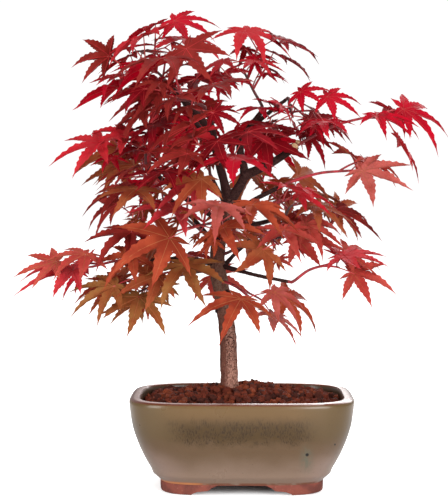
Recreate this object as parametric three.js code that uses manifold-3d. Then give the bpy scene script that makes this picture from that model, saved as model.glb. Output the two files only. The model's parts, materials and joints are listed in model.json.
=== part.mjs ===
// A Japanese maple bonsai in red leaf, standing in its glazed pot. Millimetres, +Z up.
// Places are given from the middle of the pot's underside. At the end the group is moved
// sideways, so that the origin lies under the middle of the whole plant's bounding box.
import * as THREE from "three";
import { mergeVertices } from "three/addons/utils/BufferGeometryUtils.js";
import Module from "manifold-3d";

const wasm = await Module();
wasm.setup();

const at = (x, y, z) => new THREE.Vector3(x, y, z);
const UP = at(0, 0, 1);
const GAP = 0.3; // clearance between pieces that touch

// The pot: a soft rectangle in plan, with an inward lip and four bracket feet.
const POT_HALF_LENGTH = 75;
const POT_HALF_DEPTH = 56;
const POT_CORNER = 4.2; // exponent of the plan's superellipse
const POT_STEPS = 36;
const FOOT_HEIGHT = 6.6;
const FOOT_WALL = 10;
// Half length against height, up the outside, over the lip and down the inside to the floor.
const POT_PROFILE = [
  [0, FOOT_HEIGHT],
  [54.6, FOOT_HEIGHT],
  [56, 8.6],
  [59.6, 11.6],
  [60.8, 15],
  [65.5, 23.6],
  [69.6, 33],
  [72.8, 43],
  [74.4, 53],
  [75, 58.6],
  [73.9, 61.2],
  [69, 62],
  [67.6, 60.6],
  [66.6, 48],
  [62.6, 32],
  [55.5, 20],
  [47, 14],
  [0, 13],
];
// Half of the gap between two feet: a bracket with two steps, as shares of the side's reach.
const FOOT_GAP = [
  [0.6, -1],
  [0.6, 0.6],
  [0.53, 2.2],
  [0.4, 3],
  [0.36, 4.8],
  [0.29, FOOT_HEIGHT],
];

// The soil: it fills the pot and rises to a low mound round the trunk.
const SOIL_EDGE = 54;
const SOIL_TOP = 64.4;
const SOIL_RISE = 12; // of the mound's slope, from the pot's side to its middle
const SOIL_FLAT = 13; // radius of the level ground under the trunk
const SOIL_LUMP = 0.7;

// The wood, by name: its parent, where it leaves it as a share of the parent's length, the
// points it bends through, the radius at its root and at its tip, and its number of sides.
const LIMBS = {
  trunk: {
    path: [at(-8.2, 0, SOIL_TOP - 3), at(-10, 1, 108), at(-16.6, 3, 154), at(-8.2, 1, 193)],
    radii: [5.9, 5.0],
    sides: 10,
    steps: 12,
  },
  left_leader: { from: "trunk", share: 0.985,
    path: [at(-15, 0, 216), at(-22, -2, 239), at(-46, -4, 267)], radii: [3.4, 1.7] },
  right_leader: { from: "trunk", share: 0.985,
    path: [at(1.5, 1, 209), at(-1, 3, 230), at(13, 4, 252)], radii: [3.6, 1.7] },
  right_bough: { from: "right_leader", share: 0.3,
    path: [at(21, -2, 218), at(37, -4, 229)], radii: [3, 2.4] },
  top_bough: { from: "right_leader", share: 0.75,
    path: [at(16, 14, 250), at(30, 16, 261)], radii: [1.8, 1.2] },
  back_leader: { from: "left_leader", share: 0.45,
    path: [at(-32, 20, 246), at(-42, 36, 262)], radii: [1.9, 1.2] },
  front_leader: { from: "left_leader", share: 0.4,
    path: [at(-19, -16, 240), at(-24, -28, 252)], radii: [1.8, 1.2] },
  left_bough: { from: "trunk", share: 0.88,
    path: [at(-38, -5, 194), at(-62, -9, 214)], radii: [2.5, 1.3] },
  left_low_bough: { from: "trunk", share: 0.66,
    path: [at(-38, -8, 153), at(-64, -12, 152)], radii: [1.8, 1.2] },
  left_back_bough: { from: "trunk", share: 0.74,
    path: [at(-34, 24, 180), at(-54, 40, 196)], radii: [2, 1.2] },
  right_fork: { from: "trunk", share: 0.9,
    path: [at(7, -7, 192), at(29, -14, 203)], radii: [1.9, 1.2] },
  right_mid_bough: { from: "trunk", share: 0.86,
    path: [at(8, 12, 176), at(28, 28, 180)], radii: [1.8, 1.2] },
  right_low_bough: { from: "trunk", share: 0.66,
    path: [at(10, -7, 142), at(31, -10, 138)], radii: [1.7, 1.1] },
  back_bough: { from: "trunk", share: 0.8, path: [at(-10, 26, 190), at(-14, 46, 212)], radii: [2, 1.2] },
  back_low_bough: { from: "trunk", share: 0.62,
    path: [at(-2, 22, 158), at(10, 42, 168)], radii: [1.7, 1.1] },
  front_bough: { from: "trunk", share: 0.95,
    path: [at(-14, -16, 196), at(-20, -30, 208)], radii: [1.7, 1.1] },
  front_low_bough: { from: "trunk", share: 0.78,
    path: [at(-14, -16, 170), at(-18, -28, 176)], radii: [1.6, 1.1] },
};
const TRUNK_FLARE = 2.6; // extra radius at the ground
const FLARE_HEIGHT = 9;
const STUB = { share: 0.93, radius: 2.7, reach: at(0.6, -5.2, 0.8) }; // a pruned stump on the right bough

// The masses of foliage. Each has a stem, which starts at its limb's tip, or at a share of the
// trunk on a side of it, and ends at the tip given. Then come the number of side shoots, the
// leaves' length, how far they hang and face outwards, and the seed of the growth. Where bare is
// given, that share of the stem has no shoots.
const MASSES = {
  crown_left: { from: "left_leader", tip: at(-64, -14, 283),
    shoots: 4, leaf: 39, droop: 0.1, face: 0.4, seed: 3 },
  crown_top: { from: "right_leader", tip: at(2, -8, 277),
    shoots: 3, leaf: 37, droop: 0.3, face: 0.5, seed: 7, bare: 0.5 },
  crown_right: { from: "top_bough", tip: at(34, -2, 249),
    shoots: 3, leaf: 36, droop: 0.4, face: 0.6, seed: 11 },
  crown_front: { from: "front_leader", tip: at(-42, -44, 258),
    shoots: 3, leaf: 42, droop: 0.3, face: 0.7, seed: 71 },
  crown_back: { from: "back_leader", tip: at(-46, 50, 272),
    shoots: 2, leaf: 39, droop: 0.3, face: 0.5, seed: 5 },
  right_tip: { from: "right_bough", tip: at(86, -22, 248),
    shoots: 1, leaf: 41, droop: 0.7, face: 0.6, seed: 13, bare: 0.8 },
  right_spray: { from: "right_fork", tip: at(72, -20, 212),
    shoots: 1, leaf: 39, droop: 0.4, face: 0.8, seed: 17, bare: 0.7 },
  right_inner: { from: "trunk", share: 0.84, side: at(1, -0.4, 0.5), tip: at(28, -26, 192),
    shoots: 1, leaf: 37, droop: 0.4, face: 0.9, seed: 73 },
  right_back: { from: "right_mid_bough", tip: at(38, 48, 190),
    shoots: 2, leaf: 38, droop: 0.5, face: 0.6, seed: 19 },
  right_low: { from: "trunk", share: 0.7, side: at(1, -0.5, 0.4), tip: at(28, -20, 168),
    shoots: 2, leaf: 36, droop: 0.4, face: 0.9, seed: 79 },
  right_low_tip: { from: "right_low_bough", tip: at(58, -16, 150),
    shoots: 1, leaf: 38, droop: 0.0, face: 0.6, seed: 23, bare: 0.6 },
  left_upper: { from: "left_bough", tip: at(-66, -20, 232),
    shoots: 3, leaf: 38, droop: 0.2, face: 0.5, seed: 29 },
  left_middle: { from: "trunk", share: 0.79, side: at(-1, -0.5, 0.2), tip: at(-66, -26, 194),
    shoots: 4, leaf: 38, droop: 0.3, face: 0.7, seed: 31 },
  left_low_tip: { from: "left_low_bough", tip: at(-100, -14, 148),
    shoots: 1, leaf: 36, droop: 0.3, face: 0.6, seed: 37, bare: 0.7 },
  left_low: { from: "trunk", share: 0.62, side: at(-1, -0.5, 0.2), tip: at(-68, -26, 132),
    shoots: 3, leaf: 39, droop: 0.7, face: 0.8, seed: 61 },
  left_back: { from: "left_back_bough", tip: at(-72, 46, 212),
    shoots: 3, leaf: 38, droop: 0.3, face: 0.6, seed: 41 },
  left_back_low: { from: "trunk", share: 0.64, side: at(-0.6, 1, 0.3), tip: at(-46, 46, 152),
    shoots: 2, leaf: 38, droop: 0.5, face: 0.7, seed: 83 },
  front_upper: { from: "front_bough", tip: at(-22, -48, 222),
    shoots: 3, leaf: 38, droop: 0.4, face: 0.7, seed: 43 },
  front_low: { from: "front_low_bough", tip: at(-26, -46, 176),
    shoots: 3, leaf: 40, droop: 0.6, face: 0.7, seed: 47 },
  front_foot: { from: "trunk", share: 0.56, side: at(0.5, -1, 0.3), tip: at(5, -30, 129),
    shoots: 1, leaf: 38, droop: 1.1, face: 0.7, seed: 67 },
  back_upper: { from: "back_bough", tip: at(-18, 62, 236),
    shoots: 2, leaf: 39, droop: 0.5, face: 0.7, seed: 53 },
  back_low: { from: "back_low_bough", tip: at(16, 60, 172),
    shoots: 2, leaf: 38, droop: 0.6, face: 0.8, seed: 59 },
};
const LIGHT = 0.8; // how far the leaves' faces turn up to the light
const FORWARD = 0.6; // and to the front or the back of the tree, whichever their mass is on
const REACH = 1.8; // of a mass round its middle, in lengths of its leaves
const STEM_RADII = [1.1, 0.8];
const STEM_BARE = 0.32; // share of a stem before its first shoot
const SHOOT_LENGTH = [14, 22];
const SHOOT_ANGLE = 52; // degrees from the stem
const SHOOT_RADIUS = 0.8;
const TWIG_RADII = [0.8, 0.65, 0.35]; // where a shoot starts, where it forks, and in the blade
const NODE_STEP = 1.6; // between the two leaf stalks at a shoot's end
const PETIOLE_RADIUS = 0.55;
const PETIOLE_SHARE = [0.35, 0.6]; // of the leaf's length
const PETIOLE_ANGLE = 48;
const LEAF_SIZE = [0.74, 1.08]; // of one leaf, as a share of its mass's leaf length
const ATTEMPTS = 30; // poses tried for a leaf before it is skipped
const CLEARANCE = 0.35; // added to leaves and twigs when they are tested against each other
const LOWEST_LEAF = 74;

// One leaf: lobes by their turn from the middle one, in degrees, and by length and half
// width as shares of the leaf's length. The outer lobes are plain points.
const LOBES = [
  { turn: 84, length: 0.68 },
  { turn: 42, length: 0.9, half: 0.097 },
  { turn: 0, length: 1, half: 0.097 },
  { turn: -42, length: 0.9, half: 0.097 },
  { turn: -84, length: 0.68 },
];
const BASAL_LOBE = { turn: 130, length: 0.34 };
const LOBE_BELLY = 0.46; // where a lobe is widest, as a share of its length
const NOTCH = 0.26; // how near the stalk the gaps between lobes reach
const HEEL = 0.07; // depth of the leaf behind its stalk
const LEAF_MIDDLE = 0.1; // from the stalk to the thickest place, as a share of the leaf's length
const LEAF_THICKNESS = 0.04; // there, as a share of the leaf's length

const POT_GLAZE = new THREE.MeshStandardMaterial({ color: 0x8a7a5e, roughness: 0.25, metalness: 0 });
const SOIL = new THREE.MeshStandardMaterial({ color: 0x5a2f22, roughness: 0.95, metalness: 0 });
const BARK = new THREE.MeshStandardMaterial({ color: 0x7a5a4c, roughness: 0.8, metalness: 0 });
const RED_LEAF = new THREE.MeshStandardMaterial({ color: 0xb01f2e, roughness: 0.5, metalness: 0 });

// Random numbers from 0 to 1 that are the same on every run.
function seeded(seed) {
  let state = seed >>> 0;
  return () => {
    state = (state + 0x6d2b79f5) >>> 0;
    let mixed = Math.imul(state ^ (state >>> 15), state | 1);
    mixed ^= mixed + Math.imul(mixed ^ (mixed >>> 7), mixed | 61);
    return ((mixed ^ (mixed >>> 14)) >>> 0) / 4294967296;
  };
}

const between = ([low, high], share) => low + (high - low) * share;
const radians = THREE.MathUtils.degToRad;

// A closed geometry as a solid that can be joined and cut.
function solidOf(geometry) {
  const bare = new THREE.BufferGeometry().setAttribute("position", geometry.getAttribute("position"));
  bare.setIndex(geometry.index);
  const merged = mergeVertices(bare, 1e-4);
  return new wasm.Manifold(
    new wasm.Mesh({
      numProp: 3,
      vertProperties: new Float32Array(merged.attributes.position.array),
      triVerts: new Uint32Array(merged.index.array),
    }),
  );
}

// The largest outer body of a solid, without loose scraps and sealed hollows.
function mainBody(solid) {
  return solid.decompose().reduce((best, body) => (body.volume() > best.volume() ? body : best));
}

function meshOf(name, solid, material) {
  const { vertProperties, triVerts } = solid.getMesh();
  const geometry = new THREE.BufferGeometry();
  geometry.setAttribute("position", new THREE.BufferAttribute(vertProperties, 3));
  geometry.setIndex(new THREE.BufferAttribute(triVerts, 1));
  geometry.computeVertexNormals();
  const mesh = new THREE.Mesh(geometry, material);
  mesh.name = name;
  return mesh;
}

// Moves each vertex of a geometry by a function of its place.
function reshape(geometry, move) {
  const places = geometry.getAttribute("position");
  const place = at(0, 0, 0);
  for (let i = 0; i < places.count; i++) {
    place.fromBufferAttribute(places, i);
    move(place, i);
    places.setXYZ(i, place.x, place.y, place.z);
  }
  return geometry;
}

// A turned profile pushed out from a circle to the pot's plan, with its axis upright.
function squaredUp(profile, steps) {
  const turned = new THREE.LatheGeometry(profile.map(([r, z]) => new THREE.Vector2(r, z)), steps);
  return reshape(turned.rotateX(Math.PI / 2), (place) => {
    const radius = Math.hypot(place.x, place.y);
    if (radius < 1e-6) return;
    const along = Math.abs(place.x / radius) ** POT_CORNER;
    const across = Math.abs((place.y / radius) * (POT_HALF_LENGTH / POT_HALF_DEPTH)) ** POT_CORNER;
    const grown = (along + across) ** (-1 / POT_CORNER);
    place.x *= grown;
    place.y *= grown;
  });
}

// The prism that opens the gap between two feet, through the whole pot along Y.
function footGap(reach) {
  const half = FOOT_GAP.map(([share, z]) => new THREE.Vector2(share * reach, z));
  const mirrored = half.map((p) => new THREE.Vector2(-p.x, p.y)).reverse();
  const depth = 2 * POT_HALF_LENGTH;
  const bracket = new THREE.Shape([...half, ...mirrored]);
  const prism = new THREE.ExtrudeGeometry(bracket, { depth, bevelEnabled: false });
  return prism.translate(0, 0, -depth / 2).rotateX(Math.PI / 2);
}

function makePot() {
  const footReach = POT_PROFILE[1][0];
  const footScale = POT_HALF_DEPTH / POT_HALF_LENGTH;
  const ring = [
    [footReach - FOOT_WALL, 0],
    [footReach - 0.6, 0],
    [footReach, 0.8],
    [footReach, FOOT_HEIGHT + 1],
    [footReach - FOOT_WALL, FOOT_HEIGHT + 1],
    [footReach - FOOT_WALL, 0],
  ];
  const alongFeet = solidOf(footGap(footReach));
  const acrossFeet = solidOf(footGap(footReach * footScale * 0.85).rotateZ(Math.PI / 2));
  const feet = solidOf(squaredUp(ring, POT_STEPS)).subtract(alongFeet).subtract(acrossFeet);
  return solidOf(squaredUp(POT_PROFILE, POT_STEPS)).add(feet);
}

function makeSoil() {
  const random = seeded(101);
  const wall = POT_PROFILE.slice(12).reverse().filter(([, z]) => z < SOIL_EDGE);
  const sides = wall.map(([r, z]) => [Math.max(r - 1.5 * GAP, 0), z + GAP]);
  const edge = sides.at(-1)[0] + 0.6;
  const rings = [1, 0.76, 0.54, 0.34];
  const mound = rings.map((share) => [edge * share, SOIL_EDGE + SOIL_RISE * (1 - share)]);
  const profile = [...sides, ...mound, [SOIL_FLAT, SOIL_TOP], [0, SOIL_TOP]];
  const lumps = new Map();
  return solidOf(
    reshape(squaredUp(profile, POT_STEPS), (place) => {
      if (place.z <= SOIL_EDGE || place.z > SOIL_TOP - 0.01) return;
      const key = place.toArray().map((v) => Math.round(v * 100)).join();
      if (!lumps.has(key)) lumps.set(key, (random() - 0.5) * 2 * SOIL_LUMP);
      place.z += lumps.get(key);
    }),
  );
}

// A tapering round limb along a curve: an upright cylinder bent along it.
function bentCylinder(curve, radiusAt, sides, steps) {
  const frames = curve.computeFrenetFrames(steps);
  const centres = Array.from({ length: steps + 1 }, (_, i) => curve.getPointAt(i / steps));
  const cylinder = new THREE.CylinderGeometry(1, 1, 1, sides, steps);
  return reshape(cylinder, (place) => {
    const i = Math.round((place.y + 0.5) * steps);
    const radius = radiusAt(i / steps);
    const across = frames.binormals[i].clone().multiplyScalar(place.x * radius);
    const over = frames.normals[i].clone().multiplyScalar(place.z * radius);
    place.copy(centres[i]).add(across).add(over);
  });
}

// A straight twig from one point to another.
function twig(start, end, startRadius, endRadius, sides) {
  const length = start.distanceTo(end);
  const turn = new THREE.Quaternion().setFromUnitVectors(at(0, 1, 0), end.clone().sub(start).normalize());
  return new THREE.CylinderGeometry(endRadius, startRadius, length, sides, 1)
    .translate(0, length / 2, 0)
    .applyQuaternion(turn)
    .translate(...start.toArray());
}

// A twig that bends once, at its middle point, where its two halves share a ring.
function bentTwig(start, middle, end, radii) {
  const [first, second] = [middle.clone().sub(start), end.clone().sub(middle)];
  const side = first.clone().cross(second).normalize();
  const rings = [
    { centre: start, along: first },
    { centre: middle, along: first.clone().normalize().add(second.clone().normalize()) },
    { centre: end, along: second },
  ];
  return reshape(new THREE.CylinderGeometry(1, 1, 1, 3, 2), (place) => {
    const i = Math.round((place.y + 0.5) * 2);
    const { centre, along } = rings[i];
    const over = along.clone().normalize().cross(side);
    const { x, z } = place;
    place.copy(centre).addScaledVector(side, x * radii[i]).addScaledVector(over, -z * radii[i]);
  });
}

const limbs = {};

function radiusOf(name, share, extra = 0) {
  const { radii, flare } = limbs[name];
  return between(radii, share) + flare(share) + extra;
}

// Works out a limb's curve from its parent, then makes it and cuts it clear of earlier ones.
function growLimb(name) {
  const { from, share, path, radii, sides = 6, steps = 5 } = LIMBS[name];
  const start = from ? [limbs[from].curve.getPointAt(share)] : [];
  const curve = new THREE.CatmullRomCurve3([...start, ...path]);
  const length = curve.getLength();
  const flare = (s) => (from ? 0 : TRUNK_FLARE * Math.exp((-s * length) / (FLARE_HEIGHT / 2)));
  limbs[name] = { curve, radii, flare };
  const solid = (extra) => solidOf(bentCylinder(curve, (s) => radiusOf(name, s, extra), sides, steps));
  let body = solid(0);
  for (const other of Object.values(limbs)) if (other.grown) body = body.subtract(other.grown);
  if (name === "trunk") body = body.subtract(belowGround());
  let guarded = solid(CLEARANCE);
  if (name === "right_bough") {
    body = body.add(pruningStub(curve, 0));
    guarded = guarded.add(pruningStub(curve, CLEARANCE));
  }
  limbs[name].solid = mainBody(body);
  limbs[name].grown = solid(GAP);
  limbs[name].guarded = guarded;
}

// What is taken off the foot of the trunk, so that it ends flat just above the soil.
function belowGround() {
  const depth = 20;
  return solidOf(new THREE.BoxGeometry(60, 60, depth).translate(0, 0, SOIL_TOP + GAP - depth / 2));
}

function pruningStub(curve, extra) {
  const foot = curve.getPointAt(STUB.share);
  const end = foot.clone().addScaledVector(STUB.reach, 1 + extra / STUB.reach.length());
  return solidOf(twig(foot, end, STUB.radius + extra, STUB.radius * 0.92 + extra, 9));
}

// The outline of a leaf in its own plane: the stalk at the origin and the middle lobe along
// +Y. It starts behind the stalk and runs anticlockwise.
function leafOutline(spread) {
  const polar = (turn, radius) => {
    const angle = radians(turn * spread);
    return new THREE.Vector2(Math.sin(angle) * radius, Math.cos(angle) * radius);
  };
  const outline = [new THREE.Vector2(0, -HEEL), polar(BASAL_LOBE.turn, BASAL_LOBE.length)];
  let previous = BASAL_LOBE.turn;
  for (const { turn, length, half } of LOBES) {
    outline.push(polar((previous + turn) / 2, NOTCH * (previous > 90 ? 0.6 : 1)));
    if (half) {
      const belly = Math.hypot(length * LOBE_BELLY, half);
      const swing = THREE.MathUtils.radToDeg(Math.atan2(half, length * LOBE_BELLY)) / spread;
      outline.push(polar(turn + swing, belly), polar(turn, length), polar(turn - swing, belly));
    } else {
      outline.push(polar(turn, length));
    }
    previous = turn;
  }
  outline.push(polar((previous - BASAL_LOBE.turn) / 2, NOTCH * 0.6));
  outline.push(polar(-BASAL_LOBE.turn, BASAL_LOBE.length));
  return outline;
}

// A thin leaf: two fans of faces from near the stalk to the outline, which hangs down towards
// its tips. A sphere with one row of vertices between its poles has those faces.
function leafSolid(leaf, extra) {
  const outline = leafOutline(leaf.spread);
  const thickness = leaf.length * LEAF_THICKNESS + 2 * extra;
  const faces = new THREE.SphereGeometry(1, outline.length, 2);
  reshape(faces, (place, i) => {
    const row = Math.floor(i / (outline.length + 1));
    const edge = outline[i % (outline.length + 1)] ?? outline[0];
    if (row === 1) place.set(edge.x, edge.y, -leaf.hang * edge.lengthSq()).multiplyScalar(leaf.length);
    else place.set(0, LEAF_MIDDLE * leaf.length, ((1 - row) * thickness) / 2);
  });
  const side = leaf.axis.clone().cross(leaf.normal);
  faces.applyMatrix4(new THREE.Matrix4().makeBasis(side, leaf.axis, leaf.normal).setPosition(leaf.base));
  return solidOf(faces);
}

function leafTips(leaf) {
  const side = leaf.axis.clone().cross(leaf.normal);
  return LOBES.map(({ turn, length }) => {
    const angle = radians(turn * leaf.spread);
    return leaf.base
      .clone()
      .addScaledVector(side, Math.sin(angle) * length * leaf.length)
      .addScaledVector(leaf.axis, Math.cos(angle) * length * leaf.length)
      .addScaledVector(leaf.normal, -leaf.hang * length * length * leaf.length);
  });
}

// A direction that is turned from a heading by an angle, to one side of it.
function turnedFrom(heading, roll, angle) {
  const across = at(-heading.y, heading.x, 0).normalize().applyAxisAngle(heading, roll);
  return heading.clone().multiplyScalar(Math.cos(angle)).addScaledVector(across, Math.sin(angle));
}

// How a leaf hangs: its stalk leaves the twig to one side, and the blade points outwards and
// down, with its face turned up and away from the trunk.
function poseLeaf(mass, foot, heading, roll, freedom, random) {
  const jitter = () => (random() - 0.5) * freedom;
  const stalk = turnedFrom(heading, roll + jitter(), radians(PETIOLE_ANGLE * (0.8 + 0.6 * random())));
  stalk.z += 0.25;
  stalk.normalize();
  const length = mass.leaf * between(LEAF_SIZE, random());
  const base = foot.clone().addScaledVector(stalk, length * between(PETIOLE_SHARE, random()));
  const outward = base.clone().sub(limbs.trunk.curve.getPointAt(0.9)).setZ(0).normalize();
  const axis = stalk.clone().setZ(0).multiplyScalar(0.8).addScaledVector(outward, 0.6);
  axis.add(at(jitter() * 0.7, jitter() * 0.7, -0.4 * mass.droop - 0.35 * random())).normalize();
  const openSide = at(jitter() * 0.7, jitter() * 0.7, LIGHT);
  openSide.y += mass.tip.y > 30 ? FORWARD * mass.face : -FORWARD * mass.face;
  const normal = outward.multiplyScalar(mass.face * 0.8 * random()).add(openSide);
  normal.addScaledVector(axis, -normal.dot(axis)).normalize();
  return { foot, base, axis, normal, length, hang: 0.03 + 0.25 * random(), spread: 0.92 + 0.2 * random() };
}

// What is already in the crown, so that later pieces keep clear of it.
const taken = [];

function take(solid, mass, blade = false) {
  taken.push({ solid, mass, blade, box: solid.boundingBox() });
}

const apart = (a, b) => [0, 1, 2].some((k) => a.min[k] > b.max[k] || b.min[k] > a.max[k]);

function touches(solid, filter) {
  const box = solid.boundingBox();
  return taken.some((t) => filter(t) && !apart(t.box, box) && !t.solid.intersect(solid).isEmpty());
}

// The stem of a mass: from its limb's tip, or the side of the trunk, to the mass's own tip.
function growStem(name) {
  const mass = MASSES[name];
  const limb = limbs[mass.from];
  const share = mass.share ?? 1;
  const side = mass.side ? mass.side.clone().normalize() : limb.curve.getTangentAt(1);
  const step = mass.side ? radiusOf(mass.from, share) - GAP : GAP;
  const start = limb.curve.getPointAt(share).addScaledVector(side, step);
  const bend = start.clone().lerp(mass.tip, 0.5);
  bend.z += 0.06 * start.distanceTo(mass.tip);
  mass.curve = new THREE.CatmullRomCurve3([start, start.clone().addScaledVector(side, 2), bend, mass.tip]);
  mass.centre = start.clone().lerp(mass.tip, 0.75);
  const radiusAt = (s) => between([Math.min(limb.radii[1], STEM_RADII[0]), STEM_RADII[1]], s);
  mass.solids = [solidOf(bentCylinder(mass.curve, radiusAt, 4, 4))];
  take(solidOf(bentCylinder(mass.curve, (s) => radiusAt(s) + CLEARANCE, 4, 4)), name);
}

// Finds a leaf for a twig's end: the first of several poses that is clear of all the rest.
function growLeaf(name, foot, heading, roll, seed) {
  const mass = MASSES[name];
  for (let attempt = 0; attempt < ATTEMPTS; attempt++) {
    const leaf = poseLeaf(mass, foot, heading, roll, 1 + attempt * 0.12, seeded(seed * 100 + attempt));
    const tips = leafTips(leaf);
    if (tips.some((p) => p.distanceTo(mass.centre) > REACH * mass.leaf || p.z < LOWEST_LEAF)) continue;
    const blade = leafSolid(leaf, CLEARANCE);
    const stalk = solidOf(twig(foot, leaf.base, PETIOLE_RADIUS + CLEARANCE, PETIOLE_RADIUS + CLEARANCE, 3));
    if (touches(blade, () => true) || touches(stalk, (t) => t.blade || t.mass !== name)) continue;
    take(blade, name, true);
    take(stalk, name);
    mass.solids.push(leafSolid(leaf, 0));
    return leaf;
  }
  return undefined;
}

// Shoots leave the stem on alternate sides, and each end carries a pair of leaves. The first
// leaf's stalk is drawn in one piece with the shoot.
function growMass(name) {
  const mass = MASSES[name];
  const bare = mass.bare ?? STEM_BARE;
  const ends = [{ foot: mass.tip, heading: mass.curve.getTangentAt(1) }];
  for (let k = 0; k < mass.shoots; k++) {
    const random = seeded(mass.seed * 1000 + k);
    const share = bare + ((0.94 - bare) * (k + 0.5)) / mass.shoots;
    const roll = Math.PI * k + Math.floor(k / 2) * 0.9 + (random() - 0.5) * 0.9;
    const root = mass.curve.getPointAt(share);
    const heading = turnedFrom(mass.curve.getTangentAt(share), roll, radians(SHOOT_ANGLE));
    const foot = root.clone().addScaledVector(heading, between(SHOOT_LENGTH, random()));
    const guarded = solidOf(twig(root, foot, SHOOT_RADIUS + CLEARANCE, SHOOT_RADIUS, 4));
    if (touches(guarded, (t) => t.mass !== name)) continue;
    take(guarded, name);
    ends.push({ root, foot, heading });
  }
  mass.leaves = 0;
  ends.forEach(({ root, foot, heading }, k) => {
    const pair = [0, 1].map((side) => {
      const node = foot.clone().addScaledVector(heading, -NODE_STEP * side);
      return growLeaf(name, node, heading, Math.PI * side + k * 0.5, mass.seed * 100 + k * 2 + side);
    });
    const [first, second] = pair.filter(Boolean);
    if (root && first) mass.solids.push(solidOf(bentTwig(root, first.foot, first.base, TWIG_RADII)));
    if (root && !first) mass.solids.push(solidOf(twig(root, foot, ...TWIG_RADII.slice(0, 2), 3)));
    for (const leaf of root ? [second] : [first, second]) {
      if (leaf) mass.solids.push(solidOf(twig(leaf.foot, leaf.base, PETIOLE_RADIUS, TWIG_RADII[2], 3)));
    }
    mass.leaves += pair.filter(Boolean).length;
  });
  mass.solid = mainBody(wasm.Manifold.union(mass.solids).subtract(limbs[mass.from].grown));
}

Object.keys(LIMBS).forEach(growLimb);
for (const [name, limb] of Object.entries(limbs)) take(limb.guarded, name);
Object.keys(MASSES).forEach(growStem);
Object.keys(MASSES).forEach(growMass);

const bonsai = new THREE.Group();
bonsai.add(meshOf("pot", makePot(), POT_GLAZE));
bonsai.add(meshOf("soil", makeSoil(), SOIL));
for (const [name, limb] of Object.entries(limbs)) bonsai.add(meshOf(name, limb.solid, BARK));
for (const [name, mass] of Object.entries(MASSES)) {
  bonsai.add(meshOf(`leaves_${name}`, mass.solid, RED_LEAF));
}

const middle = new THREE.Box3().setFromObject(bonsai).getCenter(at(0, 0, 0));
bonsai.position.set(-middle.x, -middle.y, 0);

export default bonsai;
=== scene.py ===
# A Japanese maple bonsai in red leaf, in its glazed pot, on a plain white floor.
# Lengths are millimetres from the middle of the pot's underside. placed() and finished() turn
# them into metres in the frame that the solids stand in.
import json
import math

import bmesh
import bpy
import numpy as np
from mathutils import Matrix, Quaternion, Vector, noise
from mathutils.bvhtree import BVHTree

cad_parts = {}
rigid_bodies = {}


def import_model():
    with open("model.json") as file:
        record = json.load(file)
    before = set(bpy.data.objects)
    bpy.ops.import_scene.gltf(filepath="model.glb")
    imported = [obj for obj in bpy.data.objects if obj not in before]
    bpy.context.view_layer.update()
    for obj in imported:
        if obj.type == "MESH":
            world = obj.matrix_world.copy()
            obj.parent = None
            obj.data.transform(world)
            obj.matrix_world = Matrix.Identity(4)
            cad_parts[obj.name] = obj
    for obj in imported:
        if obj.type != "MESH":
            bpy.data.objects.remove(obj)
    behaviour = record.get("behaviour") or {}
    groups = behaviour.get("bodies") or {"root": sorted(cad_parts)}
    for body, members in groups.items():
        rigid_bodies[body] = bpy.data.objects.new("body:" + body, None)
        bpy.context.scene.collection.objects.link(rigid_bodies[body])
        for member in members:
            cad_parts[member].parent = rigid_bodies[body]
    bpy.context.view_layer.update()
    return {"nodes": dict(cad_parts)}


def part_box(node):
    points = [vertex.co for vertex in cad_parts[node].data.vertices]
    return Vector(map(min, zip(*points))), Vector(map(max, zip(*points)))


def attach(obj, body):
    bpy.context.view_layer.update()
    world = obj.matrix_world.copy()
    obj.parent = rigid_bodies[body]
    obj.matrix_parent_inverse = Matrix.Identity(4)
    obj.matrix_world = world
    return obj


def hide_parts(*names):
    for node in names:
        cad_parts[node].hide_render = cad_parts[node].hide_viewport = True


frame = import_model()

POT_MIDDLE = (Vector(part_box("pot")[0]) + Vector(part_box("pot")[1])) / 2
POT_MIDDLE.z = 0
MM = 0.001
INTO_FRAME = Matrix.Translation(POT_MIDDLE) @ Matrix.Scale(MM, 4)

# The camera, in front of the pot and a little over its rim.
CAMERA_PLACE = (0, -970, 195)
CAMERA_TURN = 0.71  # degrees to the left
CAMERA_TILT = 2.14  # degrees downwards
LENS = 103.4
SENSOR_WIDTH = 36

# The lamps: place, width and height, and power in watts. They look at the middle of the plant.
LAMPS = {
    "key": ((600, -1000, 400), (650, 800), 15.5),
    "fill": ((-850, -750, 400), (500, 800), 10),
    "top": ((0, 100, 1200), (900, 900), 3),
    "back": ((300, 900, 600), (700, 700), 7),
}
LAMPS_AIM = (0, 0, 160)
ROOM_LIGHT = (0.4, 1.05)  # strength of the white room on the plant, and as the camera sees it
FLOOR_RADIUS = 6000
FLOOR_DROP = 0.2  # under the feet

# The pot, as in the solids: a soft rectangle in plan, with an inward lip and four feet. Its
# profiles give the reach along X and the height.
POT_HALF_LENGTH = 75
POT_HALF_DEPTH = 56
POT_CORNER = 4.2  # how square the plan is
POT_STEPS = 200  # faces round it
FOOT_HEIGHT = 6.6
FOOT_REACH = 54.6
FOOT_WALL = 10
# Half of the gap between two feet, as a share of the feet's reach, and the height. On the pot's
# ends the gap is narrower.
FOOT_GAP = [(0.6, -1), (0.6, 0.6), (0.53, 2.2), (0.4, 3), (0.36, 4.8), (0.29, FOOT_HEIGHT)]
END_GAP = 0.85
FOOT_COLLAR = [(56, 8.6), (58.6, 11), (59.6, 11.9), (60.1, 13)]
POT_WALL = [(60.8, 15), (65.5, 23.6), (69.6, 33), (72.8, 43), (74.4, 53), (75, 58.6)]
POT_LIP = [(75, 59.3), (74.7, 60.4), (73.9, 61.2), (71.8, 61.75), (69.6, 62), (68.4, 61.7), (67.6, 60.6)]
POT_INSIDE = [(67.3, 58), (66.6, 48), (62.6, 32), (55.5, 20), (47, 14)]
POT_FLOOR = 13

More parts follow.
